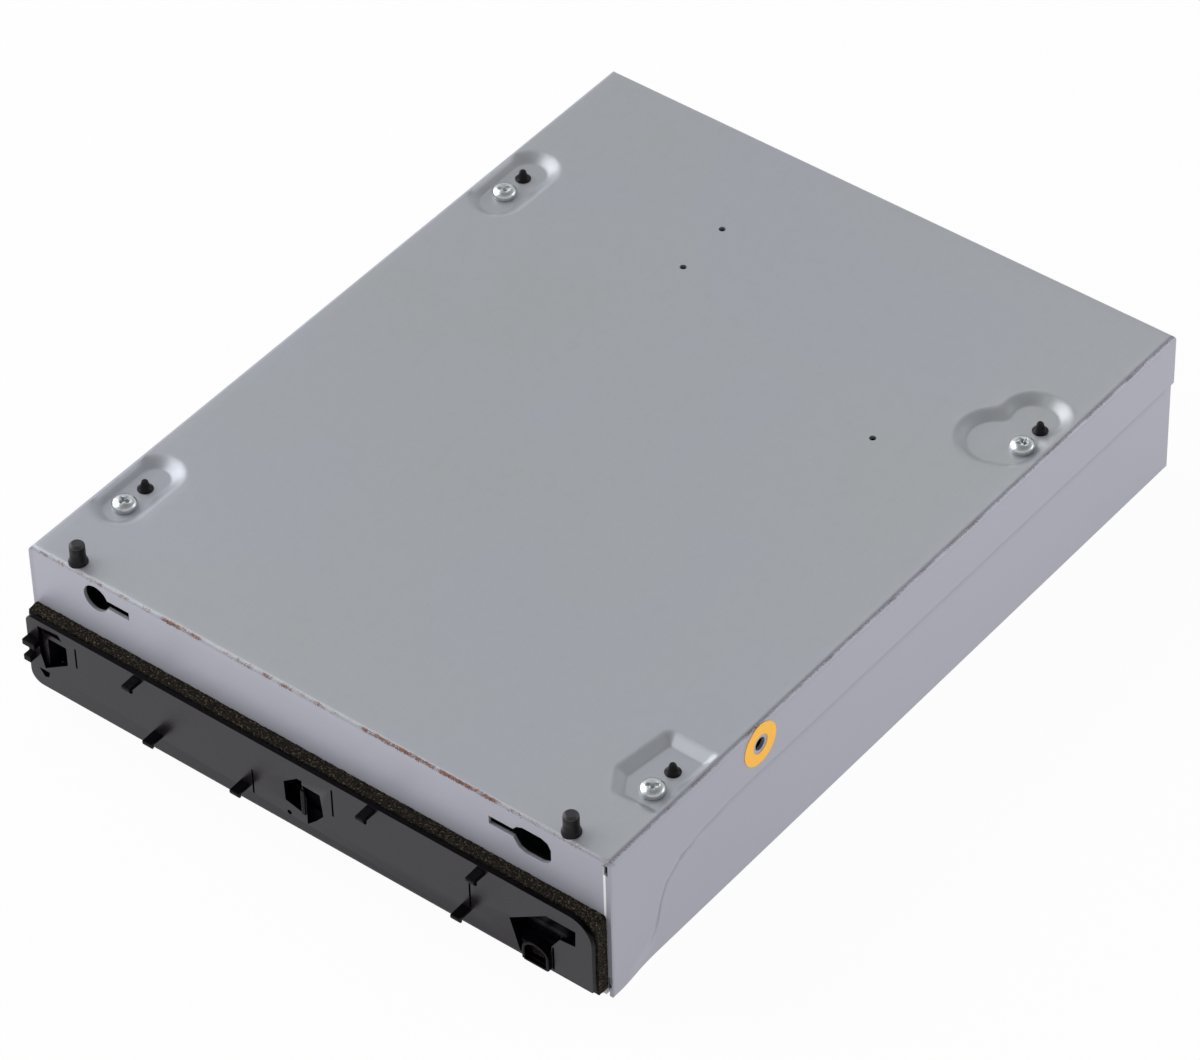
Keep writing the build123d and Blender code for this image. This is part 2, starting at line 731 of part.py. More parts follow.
def make_disc_tray():
    """Moulded tray: rails, stepped disc well, spindle slot, tail rails and the drive rack."""
    rack_pitch_x = rack_x
    rack_start = tray_gear_y - rack_front_overhang
    rack_end = tray_gear_y + tray_travel + rack_rear_overhang
    with BuildPart() as tray:
        slab((-tray_half_width, tray_half_width), (tray_front_y, tray_slot_rear + tray_rear_bar),
             (tray_rim_z, tray_under_z))
        for side in (-1, 1):
            slab(sorted((side * (tray_half_width - 1), side * tray_rail_half_width)),
                 (frame_front_y, tray_tail), (tray_rim_z, tray_rim_z + tray_rail_thickness))
            slab(sorted((side * (tray_half_width - tray_tail_width), side * tray_half_width)),
                 (tray_slot_rear, tray_tail), (tray_rim_z, tray_under_z))
        post(0, spindle_y, well_radius, (tray_rim_z, well_floor_z), mode=Mode.SUBTRACT)
        post(0, spindle_y, inner_well_radius, (well_floor_z, well_floor_z + inner_well_depth),
             mode=Mode.SUBTRACT)
        slab((-tray_slot_half_width, tray_slot_half_width), (spindle_y, tray_slot_rear),
             (tray_rim_z, well_floor_z), mode=Mode.SUBTRACT)
        with BuildSketch(Plane.XY.offset(tray_rim_z)):
            with Locations((0, (tray_slot_front + tray_slot_rear) / 2)):
                RectangleRounded(2 * tray_slot_half_width, tray_slot_rear - tray_slot_front, 6.0)
        extrude(amount=tray_under_z - tray_rim_z, mode=Mode.SUBTRACT)
        slab((-tray_half_width + tray_tail_width, tray_half_width - tray_tail_width),
             (tray_slot_rear, tray_slot_rear + tray_rear_bar), (tray_rim_z, well_floor_z),
             mode=Mode.SUBTRACT)
        for side in (-1, 1):
            slab(sorted((side * 28.0, side * 46.0)), (spindle_y + 66, spindle_y + 82),
                 (tray_rim_z + tray_skin, tray_under_z), mode=Mode.SUBTRACT)
            post(side * 46.0, spindle_y + 46.0, finger_notch_radius,
                 (tray_rim_z, well_floor_z), mode=Mode.SUBTRACT)
        with BuildSketch(Plane.XY.offset(tray_under_z - 0.2)):
            outline = Polygon(*rack_points(gear_module, 0.0, rack_end - rack_start, rack_phase()),
                              align=None, mode=Mode.PRIVATE)
            with Locations(Location((rack_pitch_x, rack_start, 0), (0, 0, 90))):
                add(outline)
            with Locations((rack_pitch_x - 1.2 * gear_module - rack_back / 2,
                            (rack_start + rack_end) / 2)):
                Rectangle(rack_back + 0.02, rack_end - rack_start)
        extrude(amount=level_b + gear_thickness - tray_under_z + 0.2)
    return save(tray.part, "disc_tray")


def rack_phase():
    """Distance from the rack's start to its first whole tooth, meshed with the tray gear."""
    pitch = pi * gear_module
    gap = pitch / 2 - tray_gear_radius * radians(tray_gear_phase - 180)
    return (rack_front_overhang + gap) % pitch + pitch


def make_clamp():
    """Bridge across the label side and the magnetic puck that it holds loosely."""
    with BuildPart() as bridge:
        slab((-bridge_half_length, bridge_half_length),
             (spindle_y - 8, spindle_y + 8), (bridge_z, bridge_z + bridge_thickness))
        with BuildSketch(Plane.XY.offset(bridge_z)):
            with Locations((0, spindle_y)):
                Circle(bridge_width / 2 + 4)
        extrude(amount=bridge_thickness)
        post(0, spindle_y, bridge_hole_radius, (bridge_z, bridge_z + bridge_thickness),
             mode=Mode.SUBTRACT)
        for x in (-45.0, 45.0):
            slab((x - 12, x + 12), (spindle_y - 3, spindle_y + 3), (bridge_z - 0.8, bridge_z))
    save(bridge.part, "clamp_bridge")
    with BuildPart() as puck:
        with BuildSketch(Plane.XZ):
            with BuildLine():
                Polyline((0, puck_top_z), (puck_flange_radius, puck_top_z),
                         (puck_flange_radius, puck_shoulder_z), (puck_radius, puck_shoulder_z),
                         (puck_radius, press_z), (puck_recess_radius, press_z),
                         (puck_recess_radius, puck_top_z + puck_floor),
                         (0, puck_top_z + puck_floor), close=True)
            make_face()
        revolve(axis=Axis.Z)
    save(Pos(0, spindle_y, 0) * puck.part, "clamp_puck")
    with BuildPart() as plate:
        low = puck_top_z + puck_floor
        post(0, spindle_y, puck_recess_radius - 0.2, (low, low + clamp_plate_thickness))
    save(plate.part, "clamp_plate")


def make_gears():
    """Loading train: motor pulley, belt, pulley gear, idler and the gear that drives the tray."""
    tray_level = (level_b, level_b + gear_thickness)
    idler_level = (level_a, level_a + gear_thickness)
    top_level = (level_c, level_c + gear_thickness)
    groove = pulley_radius - pulley_flange
    bore = gear_pin_radius + pin_clearance
    with BuildPart() as tray_gear:
        gear(tray_gear_x, tray_gear_y, tray_level, gear_module, tray_gear_teeth, tray_gear_phase)
        post(tray_gear_x, tray_gear_y, gear_pin_radius + 1.0, (level_b, level_c))
        gear(tray_gear_x, tray_gear_y, top_level, fine_module, cam_pinion_teeth, cam_pinion_phase)
        post(tray_gear_x, tray_gear_y, bore, (level_a, deck_z), mode=Mode.SUBTRACT)
    save(tray_gear.part, "tray_gear")
    with BuildPart() as idler:
        gear(idler_x, idler_y, idler_level, middle_module, idler_large_teeth, idler_phase)
        gear(idler_x, idler_y, (level_a + gear_thickness, level_b + gear_thickness), gear_module,
             idler_small_teeth, idler_phase)
        post(idler_x, idler_y, gear_pin_radius + 1.2, (level_b, deck_z - level_gap))
        post(idler_x, idler_y, bore, (level_a, deck_z), mode=Mode.SUBTRACT)
    save(idler.part, "idler_gear")
    with BuildPart() as pulley:
        gear(pulley_x, pulley_y, (level_a, level_b), middle_module, pulley_pinion_teeth,
             pulley_phase)
        post(pulley_x, pulley_y, gear_pin_radius + 1.6, (level_b, level_c))
        post(pulley_x, pulley_y, pulley_radius, (level_c - 0.3, level_c + gear_thickness))
        with BuildSketch(Plane.XY.offset(level_c + 0.2)):
            with Locations((pulley_x, pulley_y)):
                Circle(pulley_radius + 1)
                Circle(groove, mode=Mode.SUBTRACT)
        extrude(amount=belt_thickness + 0.2, mode=Mode.SUBTRACT)
        post(pulley_x, pulley_y, bore, (level_a, deck_z), mode=Mode.SUBTRACT)
    save(pulley.part, "pulley_gear")
    with BuildPart() as motor_pulley:
        post(motor_x, motor_y, motor_pulley_radius + pulley_flange,
             (level_c - 0.3, level_c + gear_thickness))
        with BuildSketch(Plane.XY.offset(level_c + 0.2)):
            with Locations((motor_x, motor_y)):
                Circle(motor_pulley_radius + 2)
                Circle(motor_pulley_radius, mode=Mode.SUBTRACT)
        extrude(amount=belt_thickness + 0.2, mode=Mode.SUBTRACT)
        post(motor_x, motor_y, motor_shaft_radius, (level_c - 0.8, deck_top_z + 6))
    save(motor_pulley.part, "motor_pulley")
    inner = [(groove + belt_clearance, pulley_x, pulley_y),
             (motor_pulley_radius + belt_clearance, motor_x, motor_y)]

    def loop(extra):
        with BuildSketch(Plane.XY) as outline:
            for radius, x, y in inner:
                with Locations((x, y)):
                    Circle(radius + extra)
            make_hull()
        return outline.sketch

    with BuildPart() as belt:
        with BuildSketch(Plane.XY.offset(level_c + 0.3)):
            add(loop(belt_thickness))
            add(loop(0.0), mode=Mode.SUBTRACT)
        extrude(amount=belt_thickness)
    save(belt.part, "drive_belt")
    with BuildPart() as motor:
        post(motor_x, motor_y, motor_radius, (deck_top_z, deck_top_z + motor_height))
        post(motor_x, motor_y, motor_boss_radius - 0.1, (deck_z + 0.3, deck_top_z))
        post(motor_x, motor_y, motor_shaft_radius + pin_clearance, (deck_z, deck_top_z + 6.2),
             mode=Mode.SUBTRACT)
        fillet(motor.faces().sort_by(Axis.Z)[-1].edges(), radius=1.0)
    save(motor.part, "loading_motor")


def make_cam_slider():
    """Slider whose inclined slot raises and lowers the lift frame."""
    plate_front = tray_gear_y + cam_pinion_radius
    wall_left = lift_pin_x - slider_end
    wall_right = lift_pin_x + slider_travel + slider_end
    rack_left = tray_gear_x - 3.0
    wall_rear = slider_wall_y + slider_wall_thickness
    with BuildPart() as slider:
        slab((rack_left, wall_right), (plate_front + 6.5, wall_rear),
             (level_c, level_c + gear_thickness))
        with BuildSketch(Plane.XY.offset(level_c)):
            outline = Polygon(*rack_points(fine_module, 0.0, slider_travel + 7.0,
                                           cam_rack_phase()), align=None, mode=Mode.PRIVATE)
            with Locations((rack_left, plate_front)):
                add(outline)
            with Locations((rack_left + (slider_travel + 7.0) / 2,
                            plate_front + 0.6 + 3.0)):
                Rectangle(slider_travel + 7.0, 6.02)
        extrude(amount=gear_thickness)
        slab((wall_left, wall_right), (slider_wall_y, wall_rear), (level_c, slider_wall_top))
        web_left = wall_right - 2.4
        slab((web_left, wall_right), (slider_wall_y, push_arm_front + push_arm_width),
             (slider_wall_top - 4.4, slider_wall_top - 4.4 + push_arm_height))
        slab((web_left, push_arm_end_x), (push_arm_front, push_arm_front + push_arm_width),
             (slider_wall_top - 4.4, slider_wall_top - 4.4 + push_arm_height))
        slot_angle = degrees(atan2(slot_rise, slider_travel))
        slot_length = (slot_rise ** 2 + slider_travel ** 2) ** 0.5
        slot_half_width = lift_pin_radius + slot_clearance
        with BuildSketch(Plane.XZ.offset(-slider_wall_y)):
            with Locations((lift_pin_x + slider_travel / 2, hinge_z + slot_rise / 2)):
                SlotOverall(slot_length + 2 * slot_half_width, 2 * slot_half_width,
                            rotation=slot_angle)
        extrude(amount=-slider_wall_thickness, mode=Mode.SUBTRACT)
    save(slider.part, "cam_slider")


def cam_rack_phase():
    """Distance from the slider rack's start to its first tooth, meshed with the cam pinion."""
    pitch = pi * fine_module
    gap = pitch / 2 - cam_pinion_radius * radians(cam_pinion_phase - 90)
    return (3.0 + gap) % pitch + pitch


def make_lift_frame():
    """Rectangular lift frame: hinged at the rear, raised by the cam pin at the front."""
    inner = lift_half_width - lift_rail_width
    with BuildPart() as lift:
        with BuildSketch(Plane.XY.offset(lift_z)):
            with Locations((0, (lift_front + lift_rear) / 2)):
                RectangleRounded(2 * lift_half_width, lift_rear - lift_front, 2.0)
            with Locations((0, (lift_front + lift_rear) / 2)):
                RectangleRounded(2 * inner, lift_rear - lift_front - 2 * lift_cross_front, 3.0,
                                 mode=Mode.SUBTRACT)
        extrude(amount=lift_thickness)
        with BuildSketch(Plane.XZ.offset(-lift_front)):
            with Locations((lift_pin_x, hinge_z)):
                Circle(lift_pin_radius)
        extrude(amount=lift_front - slider_wall_y + 0.3)
        for side in (-1, 1):
            with BuildSketch(Plane.YZ.offset(side * (lift_half_width - 2))):
                with Locations((hinge_y, hinge_z)):
                    Circle(hinge_pin_radius)
            extrude(amount=side * (2 + hinge_gap + bracket_width - 0.3))
            for y in (front_damper_y, rear_damper_y):
                post(side * ear_x, y, damper_screw_radius, (lift_z, lift_z + lift_thickness),
                     mode=Mode.SUBTRACT)
    save(lift.part, "lift_frame")


def make_traverse():
    """Steel base plate with its dampers and screws, guide rods and rod clips."""
    with BuildPart() as base:
        with BuildSketch(Plane.XY.offset(base_z)):
            with Locations((0, (base_front + base_rear) / 2)):
                RectangleRounded(2 * base_half_width, base_rear - base_front, 3.0)
            for x in (-ear_x, ear_x):
                for y in (front_damper_y, rear_damper_y):
                    with Locations((x, y)):
                        Circle(damper_radius + 0.6)
                    with Locations((x * 0.93, y)):
                        Rectangle(8.0, 2 * damper_radius)
                    with Locations((x, y)):
                        Circle(damper_groove_radius, mode=Mode.SUBTRACT)
            with Locations((0, (pickup_slot_front + pickup_slot_rear) / 2)):
                RectangleRounded(2 * pickup_slot_half_width,
                                 pickup_slot_rear - pickup_slot_front, 2.0, mode=Mode.SUBTRACT)
            with Locations((0, spindle_y)):
                Circle(bearing_radius + 3, mode=Mode.SUBTRACT)
            motor_slot = (lead_screw_x - sled_motor_radius - 1, sled_motor_front - 0.5,
                          lead_screw_x + sled_motor_radius + 1, lead_screw_end_y)
            with Locations(((motor_slot[0] + motor_slot[2]) / 2,
                            (motor_slot[1] + motor_slot[3]) / 2)):
                Rectangle(motor_slot[2] - motor_slot[0], motor_slot[3] - motor_slot[1],
                          mode=Mode.SUBTRACT)
        extrude(amount=base_thickness)
        for x in (-base_half_width + 0.8, -rod_x - 6.0):
            slab((x - 0.8, x), (base_front + 8, base_rear - 10), (base_z - 2.5, base_z))
        slab((lead_screw_x - 5, lead_screw_x + 5), (lead_screw_end_y, lead_screw_end_y + 1.2),
             (base_z - 2, base_z + base_thickness + 3))
        with BuildSketch(Plane.XZ.offset(-lead_screw_end_y)):
            with Locations((lead_screw_x, lead_screw_z)):
                Circle(lead_screw_radius - 0.4 + pin_clearance)
        extrude(amount=-1.2, mode=Mode.SUBTRACT)
    save(base.part, "traverse_base")
    for name, x in (("main_guide_rod", rod_x), ("sub_guide_rod", -rod_x)):
        with BuildPart() as rod:
            with BuildSketch(Plane.XZ.offset(-rod_front)):
                with Locations((x, rod_z)):
                    Circle(rod_radius)
            extrude(amount=rod_front - rod_rear)
            chamfer(rod.edges().filter_by(GeomType.CIRCLE), length=0.3)
        save(rod.part, name)
    with BuildPart() as clips:
        for x in (-rod_x, rod_x):
            for y in (rod_front + 0.4, rod_rear - rod_clip_length - 0.4):
                slab((x - rod_clip_width / 2, x + rod_clip_width / 2), (y, y + rod_clip_length),
                     (rod_z - rod_radius - 0.9, base_z))
                with BuildSketch(Plane.XZ.offset(-y)):
                    with Locations((x, rod_z)):
                        Circle(rod_radius)
                extrude(amount=-rod_clip_length, mode=Mode.SUBTRACT)
    save(clips.part, "rod_clips")
    with BuildPart() as dampers:
        for x in (-ear_x, ear_x):
            for y in (front_damper_y, rear_damper_y):
                low = base_z - damper_top
                post(x, y, damper_radius, (low, base_z))
                post(x, y, damper_groove_radius, (base_z, base_z + base_thickness))
                post(x, y, damper_radius, (base_z + base_thickness, lift_z))
                post(x, y, damper_screw_radius, (low, lift_z), mode=Mode.SUBTRACT)
    save(dampers.part, "damper_bushes")
    with BuildPart() as screws:
        for x in (-ear_x, ear_x):
            for y in (front_damper_y, rear_damper_y):
                low = base_z - damper_top
                post(x, y, damper_screw_radius, (low, lift_z + lift_thickness))
                post(x, y, damper_screw_head, (low - 0.9, low))
    save(screws.part, "damper_screws")


def make_sled_drive():
    """Stepper motor with its bracket, and the lead screw that moves the pickup."""
    motor_rear = sled_motor_front + sled_motor_length

    def lengthwise(radius, y_range, mode=Mode.ADD):
        with BuildSketch(Plane.XZ.offset(-y_range[0])) as disc:
            with Locations((lead_screw_x, lead_screw_z)):
                Circle(radius)
        extrude(disc.sketch, amount=y_range[0] - y_range[1], mode=mode)

    with BuildPart() as motor:
        lengthwise(sled_motor_radius, (sled_motor_front, motor_rear))
        lengthwise(lead_screw_radius + 0.3, (motor_rear - 4, motor_rear), mode=Mode.SUBTRACT)
    save(motor.part, "sled_motor")
    with BuildPart() as screw:
        lengthwise(lead_screw_radius, (motor_rear - 3.5, lead_screw_end_y - 0.3))
        lengthwise(lead_screw_radius - 0.4, (lead_screw_end_y - 0.3, lead_screw_end_y + 1.2))
    save(screw.part, "lead_screw")
    with BuildPart() as bracket:
        slab((lead_screw_x - sled_motor_radius - 1, lead_screw_x + 6.0),
             (motor_rear, motor_rear + bracket_sheet), (lead_screw_z - 4.5, lead_screw_z + 4.5))
        slab((rod_x + 1.8, lead_screw_x - sled_motor_radius + 0.5),
             (motor_rear, motor_rear + 8), (base_z - bracket_sheet, base_z))
        lengthwise(lead_screw_radius + 0.3, (motor_rear, motor_rear + bracket_sheet),
                   mode=Mode.SUBTRACT)
    save(bracket.part, "sled_bracket")


def make_spindle():
    """Turntable with its rubber pad, rotor cup, magnet ring, stator, bearing and shaft."""
    rotor_inside = rotor_radius - rotor_wall
    magnet_inside = rotor_inside - rotor_magnet_wall
    stator_z = rotor_z + rotor_wall + 0.6
    housing_end = base_z + base_thickness + 2.2

    def turned(points):
        with BuildSketch(Plane.XZ) as profile:
            with BuildLine():
                Polyline(*points, close=True)
            make_face()
        revolve(profile.sketch, axis=Axis.Z)

    with BuildPart() as table:
        hub_top = turntable_z - hub_height
        turned([(shaft_radius, hub_top), (hub_radius - 1.6, hub_top), (hub_radius, hub_top + 1.2),
                (hub_radius, turntable_z), (turntable_radius, turntable_z),
                (turntable_radius, rotor_z - 0.5), (turntable_radius - 0.5, rotor_z),
                (shaft_radius, rotor_z)])
    save(Pos(0, spindle_y, 0) * table.part, "turntable")
    with BuildPart() as pad:
        turned([(pad_inner_radius, seat_z), (turntable_radius - 0.4, seat_z),
                (turntable_radius - 0.4, turntable_z), (pad_inner_radius, turntable_z)])
    save(Pos(0, spindle_y, 0) * pad.part, "turntable_pad")
    with BuildPart() as rotor:
        turned([(shaft_radius, rotor_z), (rotor_radius - 0.6, rotor_z),
                (rotor_radius, rotor_z + 0.6), (rotor_radius, rotor_bottom_z),
                (rotor_inside, rotor_bottom_z), (rotor_inside, rotor_z + rotor_wall),
                (shaft_radius, rotor_z + rotor_wall)])
    save(Pos(0, spindle_y, 0) * rotor.part, "rotor_cup")
    with BuildPart() as magnet:
        turned([(magnet_inside, rotor_z + rotor_wall), (rotor_inside, rotor_z + rotor_wall),
                (rotor_inside, rotor_bottom_z - 0.3), (magnet_inside, rotor_bottom_z - 0.3)])
    save(Pos(0, spindle_y, 0) * magnet.part, "rotor_magnet")
    with BuildPart() as shaft:
        post(0, spindle_y, shaft_radius, (turntable_z - hub_height - 0.3, housing_end - 1.2))
    save(shaft.part, "spindle_shaft")
    with BuildPart() as stator:
        with BuildSketch(Plane.XY.offset(stator_z)):
            with Locations((0, spindle_y)):
                Circle(bearing_radius + 2.2)
                with PolarLocations(magnet_inside / 2, stator_poles):
                    Rectangle(magnet_inside - 1.4, 1.6)
                with PolarLocations(magnet_inside - 1.2, stator_poles):
                    Rectangle(1.4, 5.0)
                Circle(bearing_radius, mode=Mode.SUBTRACT)
        extrude(amount=rotor_bottom_z - 0.4 - stator_z)
    save(stator.part, "spindle_stator")
    with BuildPart() as bearing:
        turned([(shaft_radius + pin_clearance, stator_z - 0.3), (bearing_radius, stator_z - 0.3),
                (bearing_radius, housing_end), (0, housing_end), (0, housing_end - 1.0),
                (shaft_radius + pin_clearance, housing_end - 1.0)])
    save(Pos(0, spindle_y, 0) * bearing.part, "spindle_bearing")
    with BuildPart() as board:
        with BuildSketch(Plane.XY.offset(spindle_board_z)):
            with Locations((0, spindle_y)):
                Circle(rotor_radius + 0.8)
            with Locations((0, spindle_y - 8)):
                Rectangle(36.0, 12.0)
            with Locations((0, spindle_y)):
                Circle(bearing_radius, mode=Mode.SUBTRACT)
        extrude(amount=spindle_board_thickness)
    save(board.part, "spindle_board")


def make_pickup():
    """Optical pickup: die-cast body on its rods, lens holder, lens, nut and laser diode."""
    low_y = pickup_y - pickup_front
    high_y = pickup_y + pickup_rear
    top = pickup_z + pickup_height
    with BuildPart() as body:
        with BuildSketch(Plane.XY.offset(pickup_z)):
            with Locations((0, (low_y + high_y) / 2)):
                RectangleRounded(2 * pickup_half_width, high_y - low_y, 2.0)
            with Locations((0, pickup_y)):
                RectangleRounded(lens_holder_size + 1.0, lens_holder_size + 1.0, 1.0,
                                 mode=Mode.SUBTRACT)
        extrude(amount=pickup_height)
        slab((-pickup_half_width + 3, pickup_half_width - 3), (low_y + 1, high_y - 1),
             (top - 1.0, top))
        slab((pickup_half_width - 1, rod_x + 3.0), (low_y + 1.0, high_y - 1.0),
             (rod_z - 1.4, base_z - 0.35))
        slab((-rod_x - 2.6, -pickup_half_width + 1), (pickup_y - 2, pickup_y + 5),
             (rod_z - 1.4, base_z - 0.35))
        for x in (-rod_x, rod_x):
            with BuildSketch(Plane.XZ.offset(-low_y)):
                with Locations((x, rod_z)):
                    Circle(rod_radius + pin_clearance)
            extrude(amount=low_y - high_y, mode=Mode.SUBTRACT)
        slab((-lens_holder_size / 2 - 0.5, lens_holder_size / 2 + 0.5),
             (pickup_y - lens_holder_size / 2 - 0.5, pickup_y + lens_holder_size / 2 + 0.5),
             (top - 1.0, top))
    save(body.part, "pickup_body")
    with BuildPart() as holder:
        low = lens_tip_z + 0.3
        with BuildSketch(Plane.XY.offset(low)):
            with Locations((0, pickup_y)):
                RectangleRounded(lens_holder_size, lens_holder_size, 1.0)
                Circle(lens_radius, mode=Mode.SUBTRACT)
        extrude(amount=top - 1.0 - low)
    save(holder.part, "lens_holder")
    with BuildPart() as lens:
        sphere_radius = 4.0
        post(0, pickup_y, lens_radius, (lens_tip_z + 0.6, lens_tip_z + 1.8))
        with Locations((0, pickup_y, lens_tip_z + sphere_radius)):
            Sphere(sphere_radius)
        post(0, pickup_y, lens_radius, (lens_tip_z, lens_tip_z + 1.8), mode=Mode.INTERSECT)
    save(lens.part, "objective_lens")
    with BuildPart() as nut:
        slab((rod_x + 3.0, lead_screw_x + 2.6), (pickup_y - 3, pickup_y + 4),
             (lead_screw_z - lead_screw_radius - 1.6, lead_screw_z - lead_screw_radius - 0.1))
        slab((rod_x + 3.0, rod_x + 4.0), (pickup_y - 3, pickup_y + 4),
             (rod_z - 1.4, lead_screw_z - lead_screw_radius - 0.1))
        for x in (lead_screw_x - 2.6, lead_screw_x + 1.6):
            slab((x, x + 1.0), (pickup_y - 3, pickup_y + 4),
                 (lead_screw_z - lead_screw_radius - 0.1, lead_screw_z + 1.0))
    save(nut.part, "pickup_nut")
    with BuildPart() as diode:
        with BuildSketch(Plane.XZ.offset(-high_y)):
            with Locations((-12.0, pickup_z + pickup_height / 2)):
                Circle(2.8)
        extrude(amount=-1.4)
    save(diode.part, "laser_diode")


def make_board():
    """Main board with connectors, chips, capacitors, cable sockets and its screws."""
    posts = [(x, y) for x in (-board_post_x, board_post_x)
             for y in (board_front_post_y, board_rear_post_y)]
    with BuildPart() as board:
        with BuildSketch(Plane.XY.offset(board_z)):
            with Locations((0, (board_front + board_rear) / 2)):
                RectangleRounded(2 * board_half_width, board_rear - board_front, 2.0)
            with Locations(*posts):
                Circle(damper_screw_radius, mode=Mode.SUBTRACT)
        extrude(amount=board_thickness)
    save(board.part, "main_board")
    with BuildPart() as screws:
        for x, y in posts:
            top = board_z + board_thickness
            post(x, y, damper_screw_radius, (board_z - 4.5, top))
            post(x, y, damper_screw_head, (top, top + 1.2))
    save(screws.part, "board_screws")
    for name, x, width, rows in (("data_connector", sata_x, sata_width, 1),
                                 ("power_connector", power_x, power_width, 2)):
        with BuildPart() as shell:
            slab((x - width / 2, x + width / 2),
                 (connector_rear - connector_depth, connector_rear),
                 (board_z - connector_height, board_z))
            slab((x - width / 2 + 1, x + width / 2 - 1), (connector_rear - 9, connector_rear),
                 (board_z - connector_height + 1, board_z - 1), mode=Mode.SUBTRACT)
            if rows == 1:
                slab((x - width / 2 + 2.5, x + width / 2 - 2.5),
                     (connector_rear - 9, connector_rear - 1),
                     (board_z - connector_height / 2 - 0.6, board_z - connector_height / 2 + 0.6))
        save(shell.part, name)
    with BuildPart() as pins:
        for row in (-1, 1):
            z = board_z - connector_height / 2 + row * 1.6
            for column in range(6):
                x = power_x + (column - 2.5) * 2 * contact_pitch
                slab((x - 0.4, x + 0.4), (connector_rear - 9, connector_rear - 2),
                     (z - 0.4, z + 0.4))
    save(pins.part, "power_pins")
    for name, x, y, size, height in (
            ("controller_chip", 14.0, board_front + 32.0, 20.0, 1.4),
            ("motor_driver_chip", -24.0, board_front + 16.0, 12.0, 1.8),
            ("memory_chip", 38.0, board_front + 16.0, 10.0, 1.2)):
        with BuildPart() as chip:
            slab((x - size / 2, x + size / 2), (y - size / 2, y + size / 2),
                 (board_z - height, board_z))
            chamfer(chip.faces().sort_by(Axis.Z)[0].edges(), length=0.2)
        save(chip.part, name)
    with BuildPart() as capacitors:
        for x, from_front in ((-46.0, 42.0), (-38.0, 42.0), (-6.0, 50.0), (44.0, 50.0)):
            post(x, board_front + from_front, 3.0, (board_z - 5.4, board_z))
    save(capacitors.part, "board_capacitors")
    with BuildPart() as sockets:
        for x, from_front, width in ((-8.0, 4.0, 22.0), (26.0, 4.0, 10.0), (-44.0, 6.0, 8.0)):
            slab((x - width / 2, x + width / 2),
                 (board_front + from_front - 2, board_front + from_front + 2),
                 (board_z - 2.0, board_z))
    save(sockets.part, "cable_sockets")


def make_fasteners():
    """Case screws, bridge screws, the ring round the ejector hole and the tray switch."""
    with BuildPart() as screws:
        for x in (-screw_x, screw_x):
            for y in (rear_screw_y, front_screw_y):
                post(x, y, screw_head_radius,
                     (dimple_floor_z, dimple_floor_z + screw_head_height))
                post(x, y, screw_radius, (boss_top_z - screw_length + 0.3, dimple_floor_z))
        heads = screws.faces().filter_by(Axis.Z).group_by(Axis.Z)[-1]
        fillet(heads.edges(), radius=0.6)
    save(screws.part, "case_screws")
    with BuildPart() as ring:
        with BuildSketch(Plane.YZ.offset(half_width)):
            with Locations((eject_y, eject_z)):
                Circle(marker_outer_radius)
                Circle(marker_inner_radius, mode=Mode.SUBTRACT)
        extrude(amount=marker_thickness)
    save(ring.part, "ejector_ring")
    with BuildPart() as bridge_screws:
        for x in (-frame_inside_x + 1.2, frame_inside_x - 1.2):
            post(x, spindle_y, 1.0, (bridge_z - 0.8, bridge_z))
    save(bridge_screws.part, "bridge_rivets")
    with BuildPart() as switch:
        slab((switch_x - 3.0, switch_x + 3.0), (deck_rear_y - 12, deck_rear_y - 6),
             (deck_z - 3.6, deck_z))
        slab((switch_x - 0.5, switch_x + 0.5), (deck_rear_y - 9.6, deck_rear_y - 8.4),
             (deck_z - 5.0, deck_z - 3.6))
    save(switch.part, "tray_switch")


make_service_cover()
make_label_cover()
make_main_frame()
make_foam_gasket()
make_tray_front()
make_disc_tray()
make_clamp()
make_gears()
make_cam_slider()
make_lift_frame()
make_traverse()
make_sled_drive()
make_spindle()
make_pickup()
make_board()
make_fasteners()
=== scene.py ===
"""Tray-loading disc drive: the pressed cover, tray front, foam and screws round the CAD frame.

Everything is in metres in the frame of the CAD model: +Z out of the service cover, -Y out of
the tray front, +X to the right. Sizes below are written in millimetres and scaled by MM.
"""
import json
import math

import bmesh
import bpy
from mathutils import Matrix, Vector, noise


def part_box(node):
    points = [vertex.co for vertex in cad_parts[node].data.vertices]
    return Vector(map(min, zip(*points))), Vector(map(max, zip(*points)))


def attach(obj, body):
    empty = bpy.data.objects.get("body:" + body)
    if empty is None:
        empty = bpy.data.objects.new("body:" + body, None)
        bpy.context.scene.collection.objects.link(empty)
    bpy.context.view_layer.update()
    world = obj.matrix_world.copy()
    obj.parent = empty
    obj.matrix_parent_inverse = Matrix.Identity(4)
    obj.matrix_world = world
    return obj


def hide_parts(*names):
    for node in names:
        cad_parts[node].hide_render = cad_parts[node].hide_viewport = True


bl_info = {
    "name": "Tray-loading disc drive",
    "version": (1, 0, 0),
    "blender": (4, 5, 0),
    "location": "View3D > Sidebar > Disc drive",
    "description": "Builds the cover, tray front, foam, screws, finishes and stage of a disc drive",
    "category": "Object",
}

